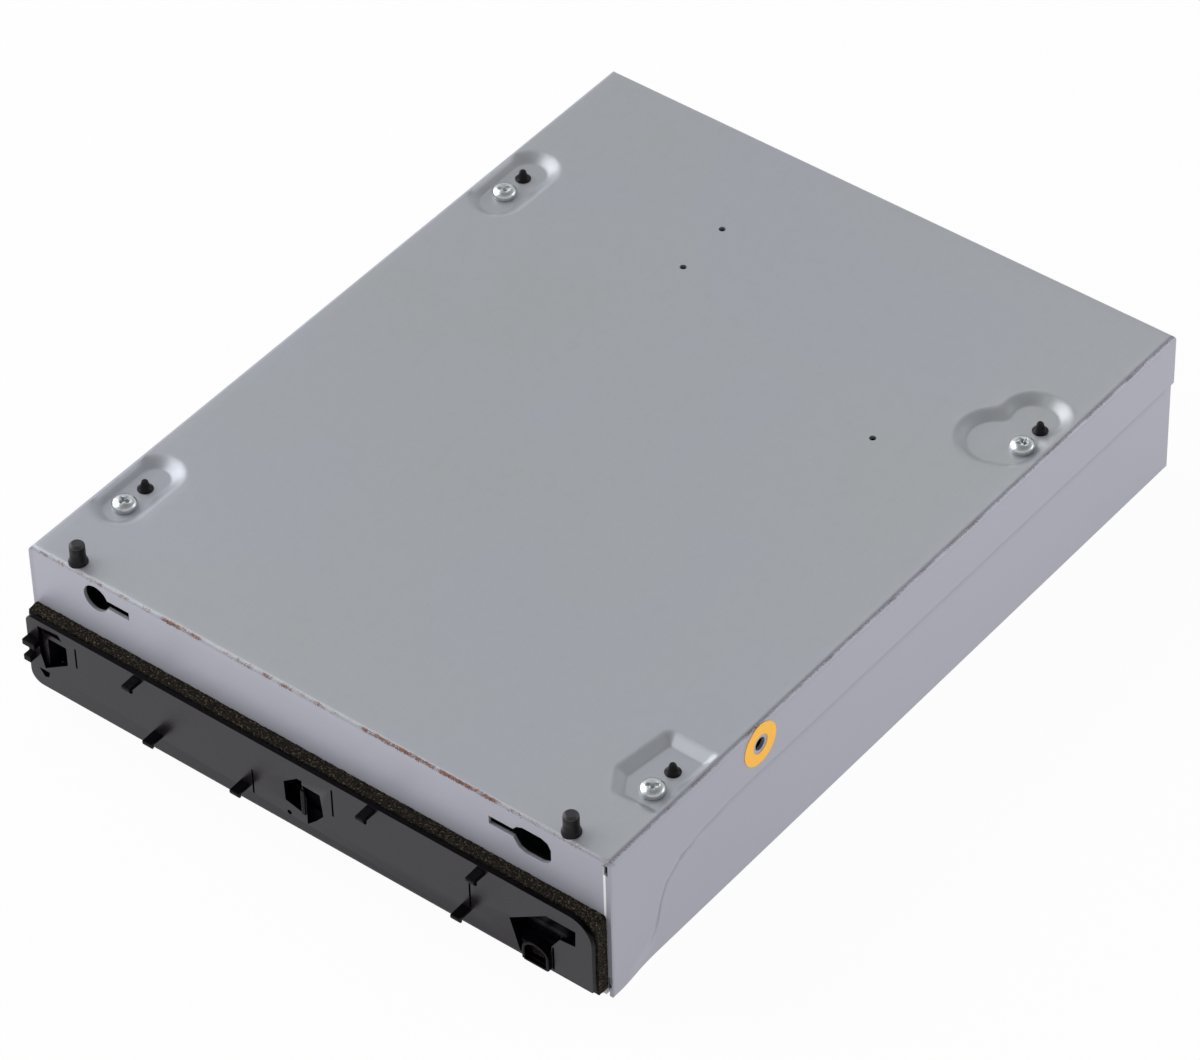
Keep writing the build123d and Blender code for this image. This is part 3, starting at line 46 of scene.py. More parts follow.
MM = 0.001
TOP_Z = 37.2
FLANGE_END = 72.8
SHEEN = 0.55
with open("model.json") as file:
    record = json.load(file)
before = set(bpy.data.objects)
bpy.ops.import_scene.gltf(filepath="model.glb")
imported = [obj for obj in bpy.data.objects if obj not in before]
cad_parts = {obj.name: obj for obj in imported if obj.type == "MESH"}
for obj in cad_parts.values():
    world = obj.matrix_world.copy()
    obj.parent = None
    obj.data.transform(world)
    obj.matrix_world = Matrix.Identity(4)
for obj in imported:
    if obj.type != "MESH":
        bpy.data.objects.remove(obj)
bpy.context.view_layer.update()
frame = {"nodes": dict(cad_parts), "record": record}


def cad_size(node, axis):
    """Size of a CAD node along one axis, in metres."""
    low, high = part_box(node)
    return high[axis] - low[axis]


def screen_colour(red, green, blue):
    """Linear colour of three screen values from 0 to 255."""
    def channel(value):
        value /= 255
        return value / 12.92 if value <= 0.04045 else ((value + 0.055) / 1.055) ** 2.4
    return (channel(red), channel(green), channel(blue))


def colour_property(name, description, default):
    """A colour that a user can change."""
    return bpy.props.FloatVectorProperty(name=name, description=description, subtype="COLOR",
                                         size=3, min=0.0, max=1.0, default=default)


def length_property(name, description, default):
    """A length that a user can change."""
    return bpy.props.FloatProperty(name=name, description=description, subtype="DISTANCE",
                                   unit="LENGTH", min=0.0, default=default)


class CoverSettings(bpy.types.PropertyGroup):
    """Sizes and colours of the pressed service cover."""
    width: length_property("Width", "Width across the side walls", cad_size("service_cover", 0))
    depth: length_property("Depth", "Depth from front to rear wall",
                           cad_size("service_cover", 1))
    sheet: length_property("Sheet", "Thickness of the steel sheet", 0.8 * MM)
    bend: length_property("Bend radius", "Outer radius of the folded edges", 1.2 * MM)
    dimple: length_property("Dimple depth", "Depth of the dimples round the screws", 1.6 * MM)
    joggle: length_property("Joggle", "Step inwards of the side walls", 0.7 * MM)
    steel: colour_property("Steel", "Zinc-plated sheet", screen_colour(176, 179, 182))
    steel_cool: colour_property("Cool steel", "Bluer patches of the sheet",
                                screen_colour(175, 178, 187))
    # Painted tint: the folded walls are painted bluer than the top, standing in for the cooler
    # light on them
    wall_tint_painted: colour_property("Wall steel", "Zinc plating of the folded walls",
                                screen_colour(177, 178, 190))
    rust: colour_property("Rust", "Rust along the folded edges", screen_colour(160, 92, 48))
    rust_dark: colour_property("Dark rust", "Old rust specks", screen_colour(72, 50, 38))


class TrayFrontSettings(bpy.types.PropertyGroup):
    """Sizes and colours of the tray front."""
    thickness: length_property("Thickness", "Thickness of the front plate", 1.1 * MM)
    big_corner: length_property("Large corner", "Radius of the upper right corner", 5.5 * MM)
    small_corner: length_property("Small corner", "Radius of the left corners", 1.6 * MM)
    socket_depth: length_property("Socket depth", "Depth of the clip sockets", 3.4 * MM)
    plastic: colour_property("Plastic", "Moulded black plastic", screen_colour(24, 18, 28))


class FoamSettings(bpy.types.PropertyGroup):
    """Sizes and colours of the foam ring."""
    cell: length_property("Cell", "Size of the cells in the foam", 0.9 * MM)
    roughness: length_property("Roughness", "How far the cut surface wanders", 0.22 * MM)
    pitch: length_property("Mesh pitch", "Distance between the mesh's points", 0.5 * MM)
    dark: colour_property("Dark foam", "Inside of the cells", screen_colour(22, 19, 15))
    light: colour_property("Light foam", "Cell walls that catch the light",
                           screen_colour(172, 152, 124))


class ScrewSettings(bpy.types.PropertyGroup):
    """Sizes and colours of the pan-head screws."""
    head: length_property("Head", "Diameter of the head", 5.5 * MM)
    head_height: length_property("Head height", "Height of the head", 1.9 * MM)
    recess: length_property("Recess", "Width of the cross recess", 3.5 * MM)
    zinc: colour_property("Zinc", "Bright zinc plating", screen_colour(214, 218, 220))


class StageSettings(bpy.types.PropertyGroup):
    """Floor, lamps and camera."""
    floor: length_property("Floor", "Side of the floor", 6.0)
    lens: bpy.props.FloatProperty(name="Lens", description="Focal length in millimetres",
                                  default=184.6, min=1.0)
    floor_colour: colour_property("Floor colour", "Pale floor", (0.9, 0.9, 0.9))


class Field:
    """A shader socket that takes arithmetic; each operation adds its Math node."""

    def __init__(self, finish, socket):
        self.finish = finish
        self.socket = socket

    def math(self, operation, *others):
        """The result of a Math node on this field and the other values."""
        values = dict(enumerate((self, *others)))
        return self.finish.node("ShaderNodeMath", {"operation": operation}, values)

    def __add__(self, other):
        return self.math("ADD", other)

    __radd__ = __add__

    def __mul__(self, other):
        return self.math("MULTIPLY", other)

    __rmul__ = __mul__

    def __sub__(self, other):
        return self.math("SUBTRACT", other)

    def __rsub__(self, other):
        return (self * -1.0) + other

    def rise(self, low, high):
        """0 below low and 1 above high, with a smooth step between them."""
        settings = {"interpolation_type": "SMOOTHSTEP"}
        values = {"Value": self, "From Min": low, "From Max": high}
        return self.finish.node("ShaderNodeMapRange", settings, values)

    def within(self, low, high, edge):
        """1 between low and high, falling to 0 over edge on both sides."""
        return self.rise(low - edge, low) * (1 - self.rise(high, high + edge))


class Nodes:
    """A node tree that nodes are added to."""

    def __init__(self, tree):
        self.tree = tree

    def node(self, kind, settings, values, output=0):
        """Adds a node with its settings, then its values or links, and returns an output."""
        node = self.tree.nodes.new(kind)
        for key, value in settings.items():
            setattr(node, key, value)
        for key, value in values.items():
            if isinstance(value, Field):
                self.tree.links.new(value.socket, node.inputs[key])
            else:
                node.inputs[key].default_value = value
        return Field(self, node.outputs[output])


class Finish(Nodes):
    """A material that is being made, read on Object coordinates in millimetres."""

    def __init__(self, name):
        self.material = bpy.data.materials.new(name)
        self.material.use_nodes = True
        super().__init__(self.material.node_tree)
        self.shader = self.tree.nodes["Principled BSDF"]
        metres = self.node("ShaderNodeTexCoord", {}, {}, "Object")
        self.place = self.node("ShaderNodeVectorMath", {"operation": "SCALE"},
                               {0: metres, "Scale": 1 / MM})
        axes = self.node("ShaderNodeSeparateXYZ", {}, {0: self.place}, "X")
        self.x = axes
        self.y = Field(self, axes.socket.node.outputs["Y"])
        self.z = Field(self, axes.socket.node.outputs["Z"])

    def stretch(self, x, y, z):
        """The place, scaled along each axis."""
        return self.node("ShaderNodeVectorMath", {"operation": "MULTIPLY"},
                         {0: self.place, 1: (x, y, z)})

    def noise(self, scale, detail=2.0, rough=0.5, place=None):
        """Noise from 0 to 1 with scale features to a millimetre."""
        values = {"Vector": place or self.place, "Scale": scale, "Detail": detail,
                  "Roughness": rough}
        return self.node("ShaderNodeTexNoise", {}, values, "Fac")

    def cells(self, scale, feature="F1"):
        """Distance field of cells, with scale cells to a millimetre."""
        return self.node("ShaderNodeTexVoronoi", {"feature": feature},
                         {"Vector": self.place, "Scale": scale}, "Distance")

    def blend(self, factor, first, second):
        """Mix of two colours."""
        values = {0: factor, 6: opaque(first), 7: opaque(second)}
        return self.node("ShaderNodeMix", {"data_type": "RGBA"}, values, 2)

    def bump(self, height, strength, distance):
        """Feeds the shader's normal from a height field."""
        normal = self.node("ShaderNodeBump", {}, {"Height": height, "Strength": strength,
                                                  "Distance": distance})
        self.tree.links.new(normal.socket, self.shader.inputs["Normal"])

    def set(self, **values):
        """Sets the shader's sockets; a name's underscores stand for spaces."""
        for key, value in values.items():
            socket = self.shader.inputs[key.replace("_", " ")]
            if isinstance(value, Field):
                self.tree.links.new(value.socket, socket)
            elif hasattr(value, "__len__"):
                socket.default_value = opaque(value)
            else:
                socket.default_value = value
        return self


def opaque(colour):
    """A colour with an alpha of 1, or a field as it is."""
    return colour if isinstance(colour, Field) else (*colour[:3], 1.0)


def scaled(colour, factor):
    """A colour made darker or lighter."""
    return tuple(min(1.0, value * factor) for value in colour[:3])


def zinc_sheet_finish(settings, name="zinc_sheet", worn_and_shaded=True):
    """Satin zinc-plated sheet with faint clouds, fine grain, and rust along the worn folds, plus
    painted shade, tint and highlight on the walls.
    """
    finish = Finish(name)
    clouds = finish.noise(0.022, 3.0)
    grain = finish.noise(2.4, 3.0, 0.6, finish.stretch(1.0, 0.12, 1.0))
    spangle = finish.noise(0.35, 2.0)
    colour = finish.blend(clouds.rise(0.2, 0.8), settings.steel, settings.steel_cool)
    colour = finish.blend((spangle - 0.5) * 0.18, colour, scaled(settings.steel, 0.6))
    colour = finish.blend(grain.rise(0.45, 0.8) * 0.06, colour, scaled(settings.steel, 0.55))
    rough = 0.36 + grain * 0.08 + clouds * 0.05
    metal = SHEEN
    # Real rust and wear, with painted tint, shade and highlight on the walls and flange end
    if worn_and_shaded:
        front = -settings.depth / 2 / MM
        half_width = settings.width / 2 / MM
        wide = (finish.x * finish.x).math("SQRT")
        on_side = wide.rise(half_width - 1.15, half_width - 0.95)
        on_front = (finish.y * -1.0).rise(-front - 0.7, -front - 0.3)
        dust = finish.noise(5.0, 2.0, 0.8)
        # Painted tint and shade on the walls, and the painted shade line of the joggle
        colour = paint_wall_light(finish, settings, colour, on_side, on_front)
        colour, rust = rust_folds(finish, settings, colour, dust)
        colour = mark_flange_end(finish, settings, colour, on_front, dust)
        rough = rough + rust * 0.35
        metal = (1 - rust) * (1 - on_front * 0.65) * SHEEN
    finish.set(Base_Color=colour, Roughness=rough, Metallic=metal, Specular_IOR_Level=0.5)
    finish.bump(grain + spangle * 0.4, 0.05, 0.0002)
    return finish.material


def paint_wall_light(finish, settings, colour, on_side, on_front):
    """Painted light on the walls: a bluer painted tint, painted shade towards the front right
    corner, and a painted shade line along the joggle.
    """
    # Painted tint: the walls take the bluer wall colour, standing in for the cooler light on them
    colour = finish.blend(on_side.math("MAXIMUM", on_front), colour, settings.wall_tint_painted)
    # Painted shade: the front flange darkens towards its right end, the side walls towards the
    # front
    painted_shade_front = on_front * finish.x.rise(25.0, 74.0) * 0.2
    painted_shade_side = on_side * (finish.y * -1.0).rise(-20.0, 100.0) * 0.14
    colour = finish.blend(painted_shade_front + painted_shade_side, colour, scaled(settings.wall_tint_painted, 0.4))
    # Painted shade: a soft darker line along the joggle of the side walls, read from a point
    # attribute
    line = finish.node("ShaderNodeAttribute", {"attribute_name": "joggle_shade_line"}, {}, "Fac")
    return finish.blend(line * 0.6, colour, screen_colour(92, 96, 108))


def rust_folds(finish, settings, colour, dust):
    """Rust and rubbed plating along the front and right folds; returns the rust's mask too."""
    bend = settings.bend / MM
    flecks = finish.noise(2.6, 4.0, 0.75)
    blots = finish.noise(0.33, 3.0, 0.6)
    streaks = finish.noise(0.11, 2.0)
    wander = (flecks - 0.5) * 1.7
    drop = finish.z * -1.0 + TOP_Z
    front_fold = finish.y * -1.0 + (bend - settings.depth / 2 / MM) + drop
    side_fold = finish.x - (settings.width / 2 / MM - bend) + drop
    folded = 1 - drop.rise(1.2, 1.5)
    front_edge = (front_fold + wander).within(0.65, 1.50, 0.2) * folded
    side_edge = (side_fold + wander).within(0.70, 1.45, 0.2) * folded
    strong = finish.x.within(15.0, 45.0, 3.0)
    middling = finish.x.within(-38.0, 2.0, 5.0)
    light = finish.x.within(-58.0, -38.0, 5.0)
    amount = strong * 0.13 + middling * 0.06 + light * 0.03
    front_rust = front_edge * (dust * 0.45 + blots * 0.55 + amount).rise(0.55, 0.62)
    side_rust = side_edge * (dust * 0.6 + streaks * 0.4).rise(0.49, 0.58)
    worn_edge = front_edge.math("MAXIMUM", side_edge) * dust.rise(0.2, 0.7)
    colour = finish.blend(worn_edge * 0.5, colour, scaled(settings.steel, 0.42))
    tint = finish.blend(flecks.rise(0.42, 0.62), settings.rust_dark, settings.rust)
    colour = finish.blend(front_rust * 0.9, colour, tint)
    grime = finish.blend(flecks.rise(0.45, 0.6), screen_colour(78, 70, 66),
                         screen_colour(140, 128, 116))
    colour = finish.blend(side_rust * 0.8, colour, grime)
    return colour, front_rust.math("MAXIMUM", side_rust)


def mark_flange_end(finish, settings, colour, on_front, dust):
    """Bare metal on the cut end of the front flange, painted near-white as a painted highlight, and
    a rusty seam low down.
    """
    below = TOP_Z - settings.bend / MM
    # Painted highlight: the flange's cut end, bare metal, is painted near-white
    bare_highlight = finish.x.within(FLANGE_END - 0.35, FLANGE_END + 0.1, 0.1) * on_front
    bare_highlight = bare_highlight * (1 - finish.z.rise(below - 0.4, below))
    colour = finish.blend(bare_highlight, colour, screen_colour(244, 244, 246))
    seam = finish.x.within(FLANGE_END - 0.2, FLANGE_END + 0.1, 0.1) * on_front
    seam = seam * (1 - finish.z.rise(20.0, 24.0)) * dust.rise(0.35, 0.5)
    return finish.blend(seam, colour, settings.rust_dark)


def moulded_finish(name, colour, roughness=0.34, grain=0.5, strength=0.06, gloss=0.5):
    """Moulded plastic: a fine grain with slight variation in tone and gloss."""
    finish = Finish(name)
    fine = finish.noise(3.2, 3.0, 0.6)
    broad = finish.noise(0.06, 2.0)
    tone = finish.blend(broad.rise(0.3, 0.7) * 0.5, colour, scaled(colour, 0.82))
    tone = finish.blend(fine.rise(0.55, 0.8) * 0.2 * grain, tone, scaled(colour, 1.35))
    finish.set(Base_Color=tone, Roughness=roughness + fine * 0.10, Specular_IOR_Level=gloss)
    finish.bump(fine, strength, 0.0002)
    return finish.material


def metal_finish(name, colour, roughness=0.3, streak=(1.0, 1.0, 1.0)):
    """Bare or plated metal with drawn streaks."""
    finish = Finish(name)
    lines = finish.noise(2.0, 3.0, 0.6, finish.stretch(*streak))
    broad = finish.noise(0.12, 2.0)
    tone = finish.blend(lines * 0.25, colour, scaled(colour, 0.72))
    tone = finish.blend(broad.rise(0.4, 0.7) * 0.15, tone, scaled(colour, 0.8))
    finish.set(Base_Color=tone, Roughness=roughness + lines * 0.15, Metallic=1.0)
    finish.bump(lines, 0.05, 0.0001)
    return finish.material


def foam_finish(settings):
    """Open-cell foam: dark cells with lighter walls painted as highlights, and dust."""
    finish = Finish("open_cell_foam")
    per_mm = MM / settings.cell
    walls = finish.cells(per_mm, "DISTANCE_TO_EDGE")
    fine_walls = finish.cells(per_mm * 2.3, "DISTANCE_TO_EDGE")
    dust = finish.noise(per_mm * 2.0, 4.0, 0.7)
    patches = finish.noise(0.12, 2.0)
    # Painted highlights: the cell walls are painted lighter where they would catch the light
    lit = (1 - walls.rise(0.02, 0.22)) * 0.5 + (1 - fine_walls.rise(0.0, 0.16)) * 0.35
    lit = lit * dust.rise(0.50, 0.70)
    tone = finish.blend(lit, settings.dark, settings.light)
    tone = finish.blend(patches.rise(0.4, 0.7) * 0.2, tone, scaled(settings.dark, 1.5))
    finish.set(Base_Color=tone, Roughness=0.95, Specular_IOR_Level=0.2)
    finish.bump(walls + fine_walls * 0.6 + dust * 0.5, 0.7, 0.0006)
    return finish.material


def board_finish():
    """Green circuit board with faint copper tracks under the mask."""
    finish = Finish("solder_mask")
    tracks = finish.noise(0.5, 0.0, 0.5, finish.stretch(1.0, 0.2, 1.0))
    crossing = finish.noise(0.5, 0.0, 0.5, finish.stretch(0.2, 1.0, 1.0))
    lines = tracks.within(0.49, 0.52, 0.01).math("MAXIMUM", crossing.within(0.46, 0.49, 0.01))
    green = screen_colour(14, 84, 44)
    tone = finish.blend(lines, green, screen_colour(44, 124, 66))
    finish.set(Base_Color=tone, Roughness=0.28 + lines * 0.1)
    finish.bump(lines, 0.1, 0.0001)
    return finish.material


def rubber_finish():
    """Black rubber with a dusty bloom."""
    finish = Finish("black_rubber")
    bloom = finish.noise(0.5, 4.0, 0.6)
    tone = finish.blend(bloom.rise(0.4, 0.8) * 0.4, (0.012, 0.012, 0.013), (0.05, 0.05, 0.05))
    finish.set(Base_Color=tone, Roughness=0.72 + bloom * 0.15)
    finish.bump(finish.noise(4.0, 2.0), 0.1, 0.0002)
    return finish.material


def lens_finish():
    """Coated lens with a blue and violet sheen."""
    finish = Finish("coated_lens")
    depth = finish.noise(0.8, 1.0)
    tone = finish.blend(depth, screen_colour(60, 40, 140), screen_colour(30, 90, 150))
    finish.set(Base_Color=tone, Roughness=0.05 + depth * 0.03, Coat_Weight=1.0)
    return finish.material


def glowing_film_finish():
    """Orange printed film with a faint matt grain and a faint painted glow."""
    finish = Finish("orange_film")
    grain = finish.noise(2.0, 3.0)
    tone = finish.blend(grain.rise(0.3, 0.8) * 0.3, screen_colour(255, 190, 66),
                        screen_colour(246, 176, 52))
    # Painted glow: the film's colour also feeds its emission, so it glows faintly
    finish.set(Base_Color=tone, Roughness=0.5 + grain * 0.1, Emission_Color=tone,
               Emission_Strength=0.2)
    finish.bump(grain, 0.05, 0.0001)
    return finish.material


def mesh_object(bm, name, material, smooth_angle=35.0):
    """Turns a bmesh into an object with its finish and shading by angle."""
    mesh = bpy.data.meshes.new(name)
    bm.to_mesh(mesh)
    bm.free()
    made = bpy.data.objects.new(name, mesh)
    bpy.context.scene.collection.objects.link(made)
    if material:
        mesh.materials.append(material)
    shade(made, smooth_angle)
    return made


def shade(made, smooth_angle):
    """Smooth shading with sharp edges above an angle in degrees."""
    made.data.polygons.foreach_set("use_smooth", [True] * len(made.data.polygons))
    made.data.set_sharp_from_angle(angle=math.radians(smooth_angle))


def apply_modifiers(made):
    """Replaces a mesh by its evaluated one and drops the modifiers."""
    graph = bpy.context.evaluated_depsgraph_get()
    finished = bpy.data.meshes.new_from_object(made.evaluated_get(graph))
    made.modifiers.clear()
    made.data = finished


def soften(made, width, angle=None):
    """Rounds the edges by a width in millimetres, those above an angle if one is given."""
    step = made.modifiers.new("soft_edges", "BEVEL")
    step.width = width * MM
    step.segments = 2
    if angle:
        step.limit_method = "ANGLE"
        step.angle_limit = math.radians(angle)
    apply_modifiers(made)


def cut(made, cutters):
    """Subtracts closed cutter shapes from a closed mesh, each in its own step."""
    helpers = []
    for number, bm in enumerate(cutters):
        bmesh.ops.recalc_face_normals(bm, faces=bm.faces)
        helper = mesh_object(bm, f"{made.name}_cutter_{number}", None)
        step = made.modifiers.new(f"cut_{number}", "BOOLEAN")
        step.operation = "DIFFERENCE"
        step.object = helper
        step.solver = "EXACT"
        helpers.append(helper)
    apply_modifiers(made)
    for helper in helpers:
        bpy.data.objects.remove(helper)


def add_block(bm, low, high):
    """A box between two corners in millimetres; returns its vertices."""
    size = [b - a for a, b in zip(low, high)]
    middle = [(a + b) / 2 for a, b in zip(low, high)]
    matrix = Matrix.Translation([v * MM for v in middle]) @ Matrix.Diagonal(
        [v * MM for v in size] + [1.0])
    return bmesh.ops.create_cube(bm, size=1.0, matrix=matrix)["verts"]


def add_rod(bm, place, radius, length, axis="Z", segments=40):
    """A cylinder in millimetres, centred on a place."""
    turn = {"Z": Matrix.Identity(4), "Y": Matrix.Rotation(math.pi / 2, 4, "X"),
            "X": Matrix.Rotation(math.pi / 2, 4, "Y")}[axis]
    matrix = Matrix.Translation([v * MM for v in place]) @ turn
    bmesh.ops.create_cone(bm, cap_ends=True, segments=segments, radius1=radius * MM,
                          radius2=radius * MM, depth=length * MM, matrix=matrix)


def add_prism(bm, outline, near, far):
    """A prism along Y over an outline of XZ points in millimetres."""
    points = [bm.verts.new((x * MM, near * MM, z * MM)) for x, z in outline]
    face = bm.faces.new(points)
    grown = bmesh.ops.extrude_face_region(bm, geom=[face])
    moved = [v for v in grown["geom"] if isinstance(v, bmesh.types.BMVert)]
    bmesh.ops.translate(bm, verts=moved, vec=(0, (far - near) * MM, 0))


def lathe(bm, centre, profile, steps):
    """Turns a profile of (radius, height) points round an upright axis, in millimetres."""
    x, y, z = centre
    points = [bm.verts.new(((x + r) * MM, y * MM, (z + up) * MM)) for r, up in profile]
    pairs = list(zip(points, points[1:]))
    if profile[0][0] > 0:
        pairs.append((points[-1], points[0]))
    edges = [bm.edges.new(pair) for pair in pairs]
    bmesh.ops.spin(bm, geom=points + edges, axis=(0, 0, 1), cent=(x * MM, y * MM, 0),
                   angle=math.tau, steps=steps, use_merge=True)


def smooth_step(value):
    """Smooth step of a value from 0 to 1."""
    value = max(0.0, min(1.0, value))
    return value * value * (3 - 2 * value)


def distance_to_pill(point, start, end, radius):
    """Signed distance from a point to a thick line with round ends."""
    ex, ey = end[0] - start[0], end[1] - start[1]
    wx, wy = point[0] - start[0], point[1] - start[1]
    along = max(0.0, min(1.0, (wx * ex + wy * ey) / (ex * ex + ey * ey)))
    return math.hypot(wx - ex * along, wy - ey * along) - radius


def distance_to_outline(point, outline):
    """Signed distance from a point to a closed outline, negative inside."""
    nearest = 1e9
    inside = False
    px, py = point
    for (ax, ay), (bx, by) in zip(outline, outline[1:] + outline[:1]):
        nearest = min(nearest, distance_to_pill(point, (ax, ay), (bx, by), 0.0))
        if (ay > py) != (by > py) and px < ax + (py - ay) / (by - ay) * (bx - ax):
            inside = not inside
    return -nearest if inside else nearest


def soft_union(first, second, width):
    """Distance to two shapes that flow into each other."""
    mix = max(0.0, min(1.0, 0.5 + 0.5 * (second - first) / width))
    return second * (1 - mix) + first * mix - width * mix * (1 - mix)


# Places in millimetres. KEYHOLE is the right keyhole's outline as (X, Z) points.
FLAT_HALF = (72.8, 94.05)
KEYHOLE = [(44.4, 30.4), (44.4, 32.5), (50.4, 32.5), (51.3, 33.6), (52.8, 34.2), (57.4, 34.2),
           (58.9, 33.6), (59.7, 32.2), (59.7, 29.6), (59.0, 28.3), (57.5, 27.7), (53.4, 27.7),
           (51.8, 28.3), (51.0, 29.4), (50.4, 30.4)]
SCREWS = [(x, y) for x in (-67.5, 67.5) for y in (49.2, -73.5)]
SCREW_SEAT = 35.6
PEG_STEP = 6.4
POSTS = [(-62.8, -92.6), (62.8, -92.6)]
SMALL_HOLES = [(-22.0, 66.2), (-21.1, 51.5), (42.5, 32.0)]
LEFT_KEYHOLE = (-56.3, 32.6)
EJECT_HOLE = (-47.9, 31.9)
FLANGE_CUT = (-97.0, -93.0)


def dimple_distance(x, y):
    """Signed distance to the nearest dimple."""
    if x < 0:
        if y > 0:
            return distance_to_pill((x, y), (-67.0, 46.3), (-67.0, 57.3), 6.0)
        return distance_to_pill((x, y), (-67.5, -74.9), (-67.5, -64.0), 5.6)
    if y > 0:
        upper = distance_to_pill((x, y), (64.6, 57.4), (65.6, 57.6), 6.6)
        lower = distance_to_pill((x, y), (62.4, 47.6), (64.4, 48.4), 8.4)
        return soft_union(upper, lower, 2.5)
    corners = [(71.2, -61.6), (71.2, -77.6), (63.6, -77.6), (61.0, -73.4), (62.6, -61.6)]
    return distance_to_outline((x, y), corners) - 1.9


def press_dimples(x, y, depth):
    """How far the sheet is pressed down at a place."""
    distance = dimple_distance(x, y)
    along = max(0.0, min(1.0, (1.2 - distance) / 3.5))
    slope = 1 - (1 - along ** 2.0) ** 1.5
    edge = min(FLAT_HALF[0] - abs(x), FLAT_HALF[1] - abs(y))
    return depth * slope * smooth_step(edge / 0.5)


# The line of the joggle on the side walls, as (Y, Z) points
JOGGLE = [(100.0, -5.0), (100.0, 23.5), (-57.0, 23.5), (-66.0, 22.6), (-73.0, 20.6),
          (-77.6, 17.4), (-79.6, 13.0), (-80.6, 8.6), (-83.0, 4.6), (-87.0, 1.6), (-90.0, -5.0)]


def build_cover_shell(settings):
    """The cover's outer skin: a grid pressed with dimples, folded down into four walls."""
    bm = bmesh.new()
    half_x, half_y = FLAT_HALF
    fine_rows, coarse_rows = 40, 74
    bmesh.ops.create_grid(bm, x_segments=74, y_segments=fine_rows + coarse_rows, size=0.5,
                          matrix=Matrix.Diagonal((2 * half_x * MM, 2 * half_y * MM, 1, 1)))
    for vertex in bm.verts:
        row = round((vertex.co.y / MM / half_y + 1) / 2 * (fine_rows + coarse_rows))
        pitch = (2 * half_y - fine_rows) / coarse_rows
        vertex.co.y = (min(row, fine_rows) + max(0, row - fine_rows) * pitch - half_y) * MM
    snaps = (-67.5, 67.5, -36.0, 34.0)
    for vertex in bm.verts:
        vertex.co.z = TOP_Z * MM
        for line in snaps:
            if abs(vertex.co.x / MM - line) < 0.98:
                vertex.co.x = line * MM
    near = [e for e in bm.edges if all(dimple_distance(v.co.x / MM, v.co.y / MM) < 2.6
                                       for v in e.verts)]
    bmesh.ops.subdivide_edges(bm, edges=near, cuts=4, use_grid_fill=True)
    for vertex in bm.verts:
        vertex.co.z -= press_dimples(vertex.co.x / MM, vertex.co.y / MM, settings.dimple / MM) * MM
    walls = [1.0, 2.0, 3.0, 4.0, 5.5, *range(7, 17), 17.2, *range(18, 22), 22.4, 22.8, 23.2, 23.6,
             24.0, 24.4, 24.8, 26.4, 28.0, 30.0, 32.0, 33.4, 35.0]
    bend = settings.bend / MM
    rings = []
    for step in range(1, 6):
        turn = math.radians(18 * step)
        out = bend * math.sin(turn)
        rings.append((half_x + out, half_y + out, TOP_Z - bend * (1 - math.cos(turn))))
    rings += [(half_x + bend, half_y + bend, z) for z in reversed(walls)]
    rings.append((half_x + bend, half_y + bend, 0.3))
    edges = [e for e in bm.edges if e.is_boundary]
    last_x, last_y = half_x, half_y
    for wide, deep, z in rings:
        grown = bmesh.ops.extrude_edge_only(bm, edges=edges)["geom"]
        fresh = {v for v in grown if isinstance(v, bmesh.types.BMVert)}
        for vertex in fresh:
            x, y = vertex.co.x / MM, vertex.co.y / MM
            if abs(abs(x) - last_x) < 0.01:
                vertex.co.x = math.copysign(wide, x) * MM
            if abs(abs(y) - last_y) < 0.01:
                vertex.co.y = math.copysign(deep, y) * MM
            vertex.co.z = z * MM
        edges = [e for e in grown if isinstance(e, bmesh.types.BMEdge)
                 and e.verts[0] in fresh and e.verts[1] in fresh]
        last_x, last_y = wide, deep
    front, rear = -last_y, last_y
    gone = []
    for face in bm.faces:
        place = face.calc_center_median() / MM
        if place.z > TOP_Z - bend:
            continue
        if place.y < front + 0.01:
            flange = place.z > 17.2 or (place.z > 5.5 and abs(place.x) > 67.5)
            if not flange or place.x > FLANGE_END or (place.x < -half_x and place.z < 17.2):
                gone.append(face)
        elif place.y > rear - 0.01:
            flange = place.z > 33.4 or (place.z > 26.4 and not -36.0 < place.x < 34.0)
            if not flange:
                gone.append(face)
    bmesh.ops.delete(bm, geom=gone, context="FACES")
    for vertex in bm.verts:
        x, y, z = vertex.co / MM
        if abs(abs(x) - last_x) < 0.01 and z < TOP_Z - bend:
            width = 1.4 if y > -58 else 2.0 + max(0.0, 7.0 - z) * 1.2
            step = smooth_step(0.5 - distance_to_outline((y, z), JOGGLE) / width)
            vertex.co.x -= math.copysign(settings.joggle * step, x)
    bmesh.ops.recalc_face_normals(bm, faces=bm.faces)
    if max(bm.faces, key=lambda f: f.calc_center_median().z).normal.z < 0:
        bmesh.ops.reverse_faces(bm, faces=bm.faces)
    return bm


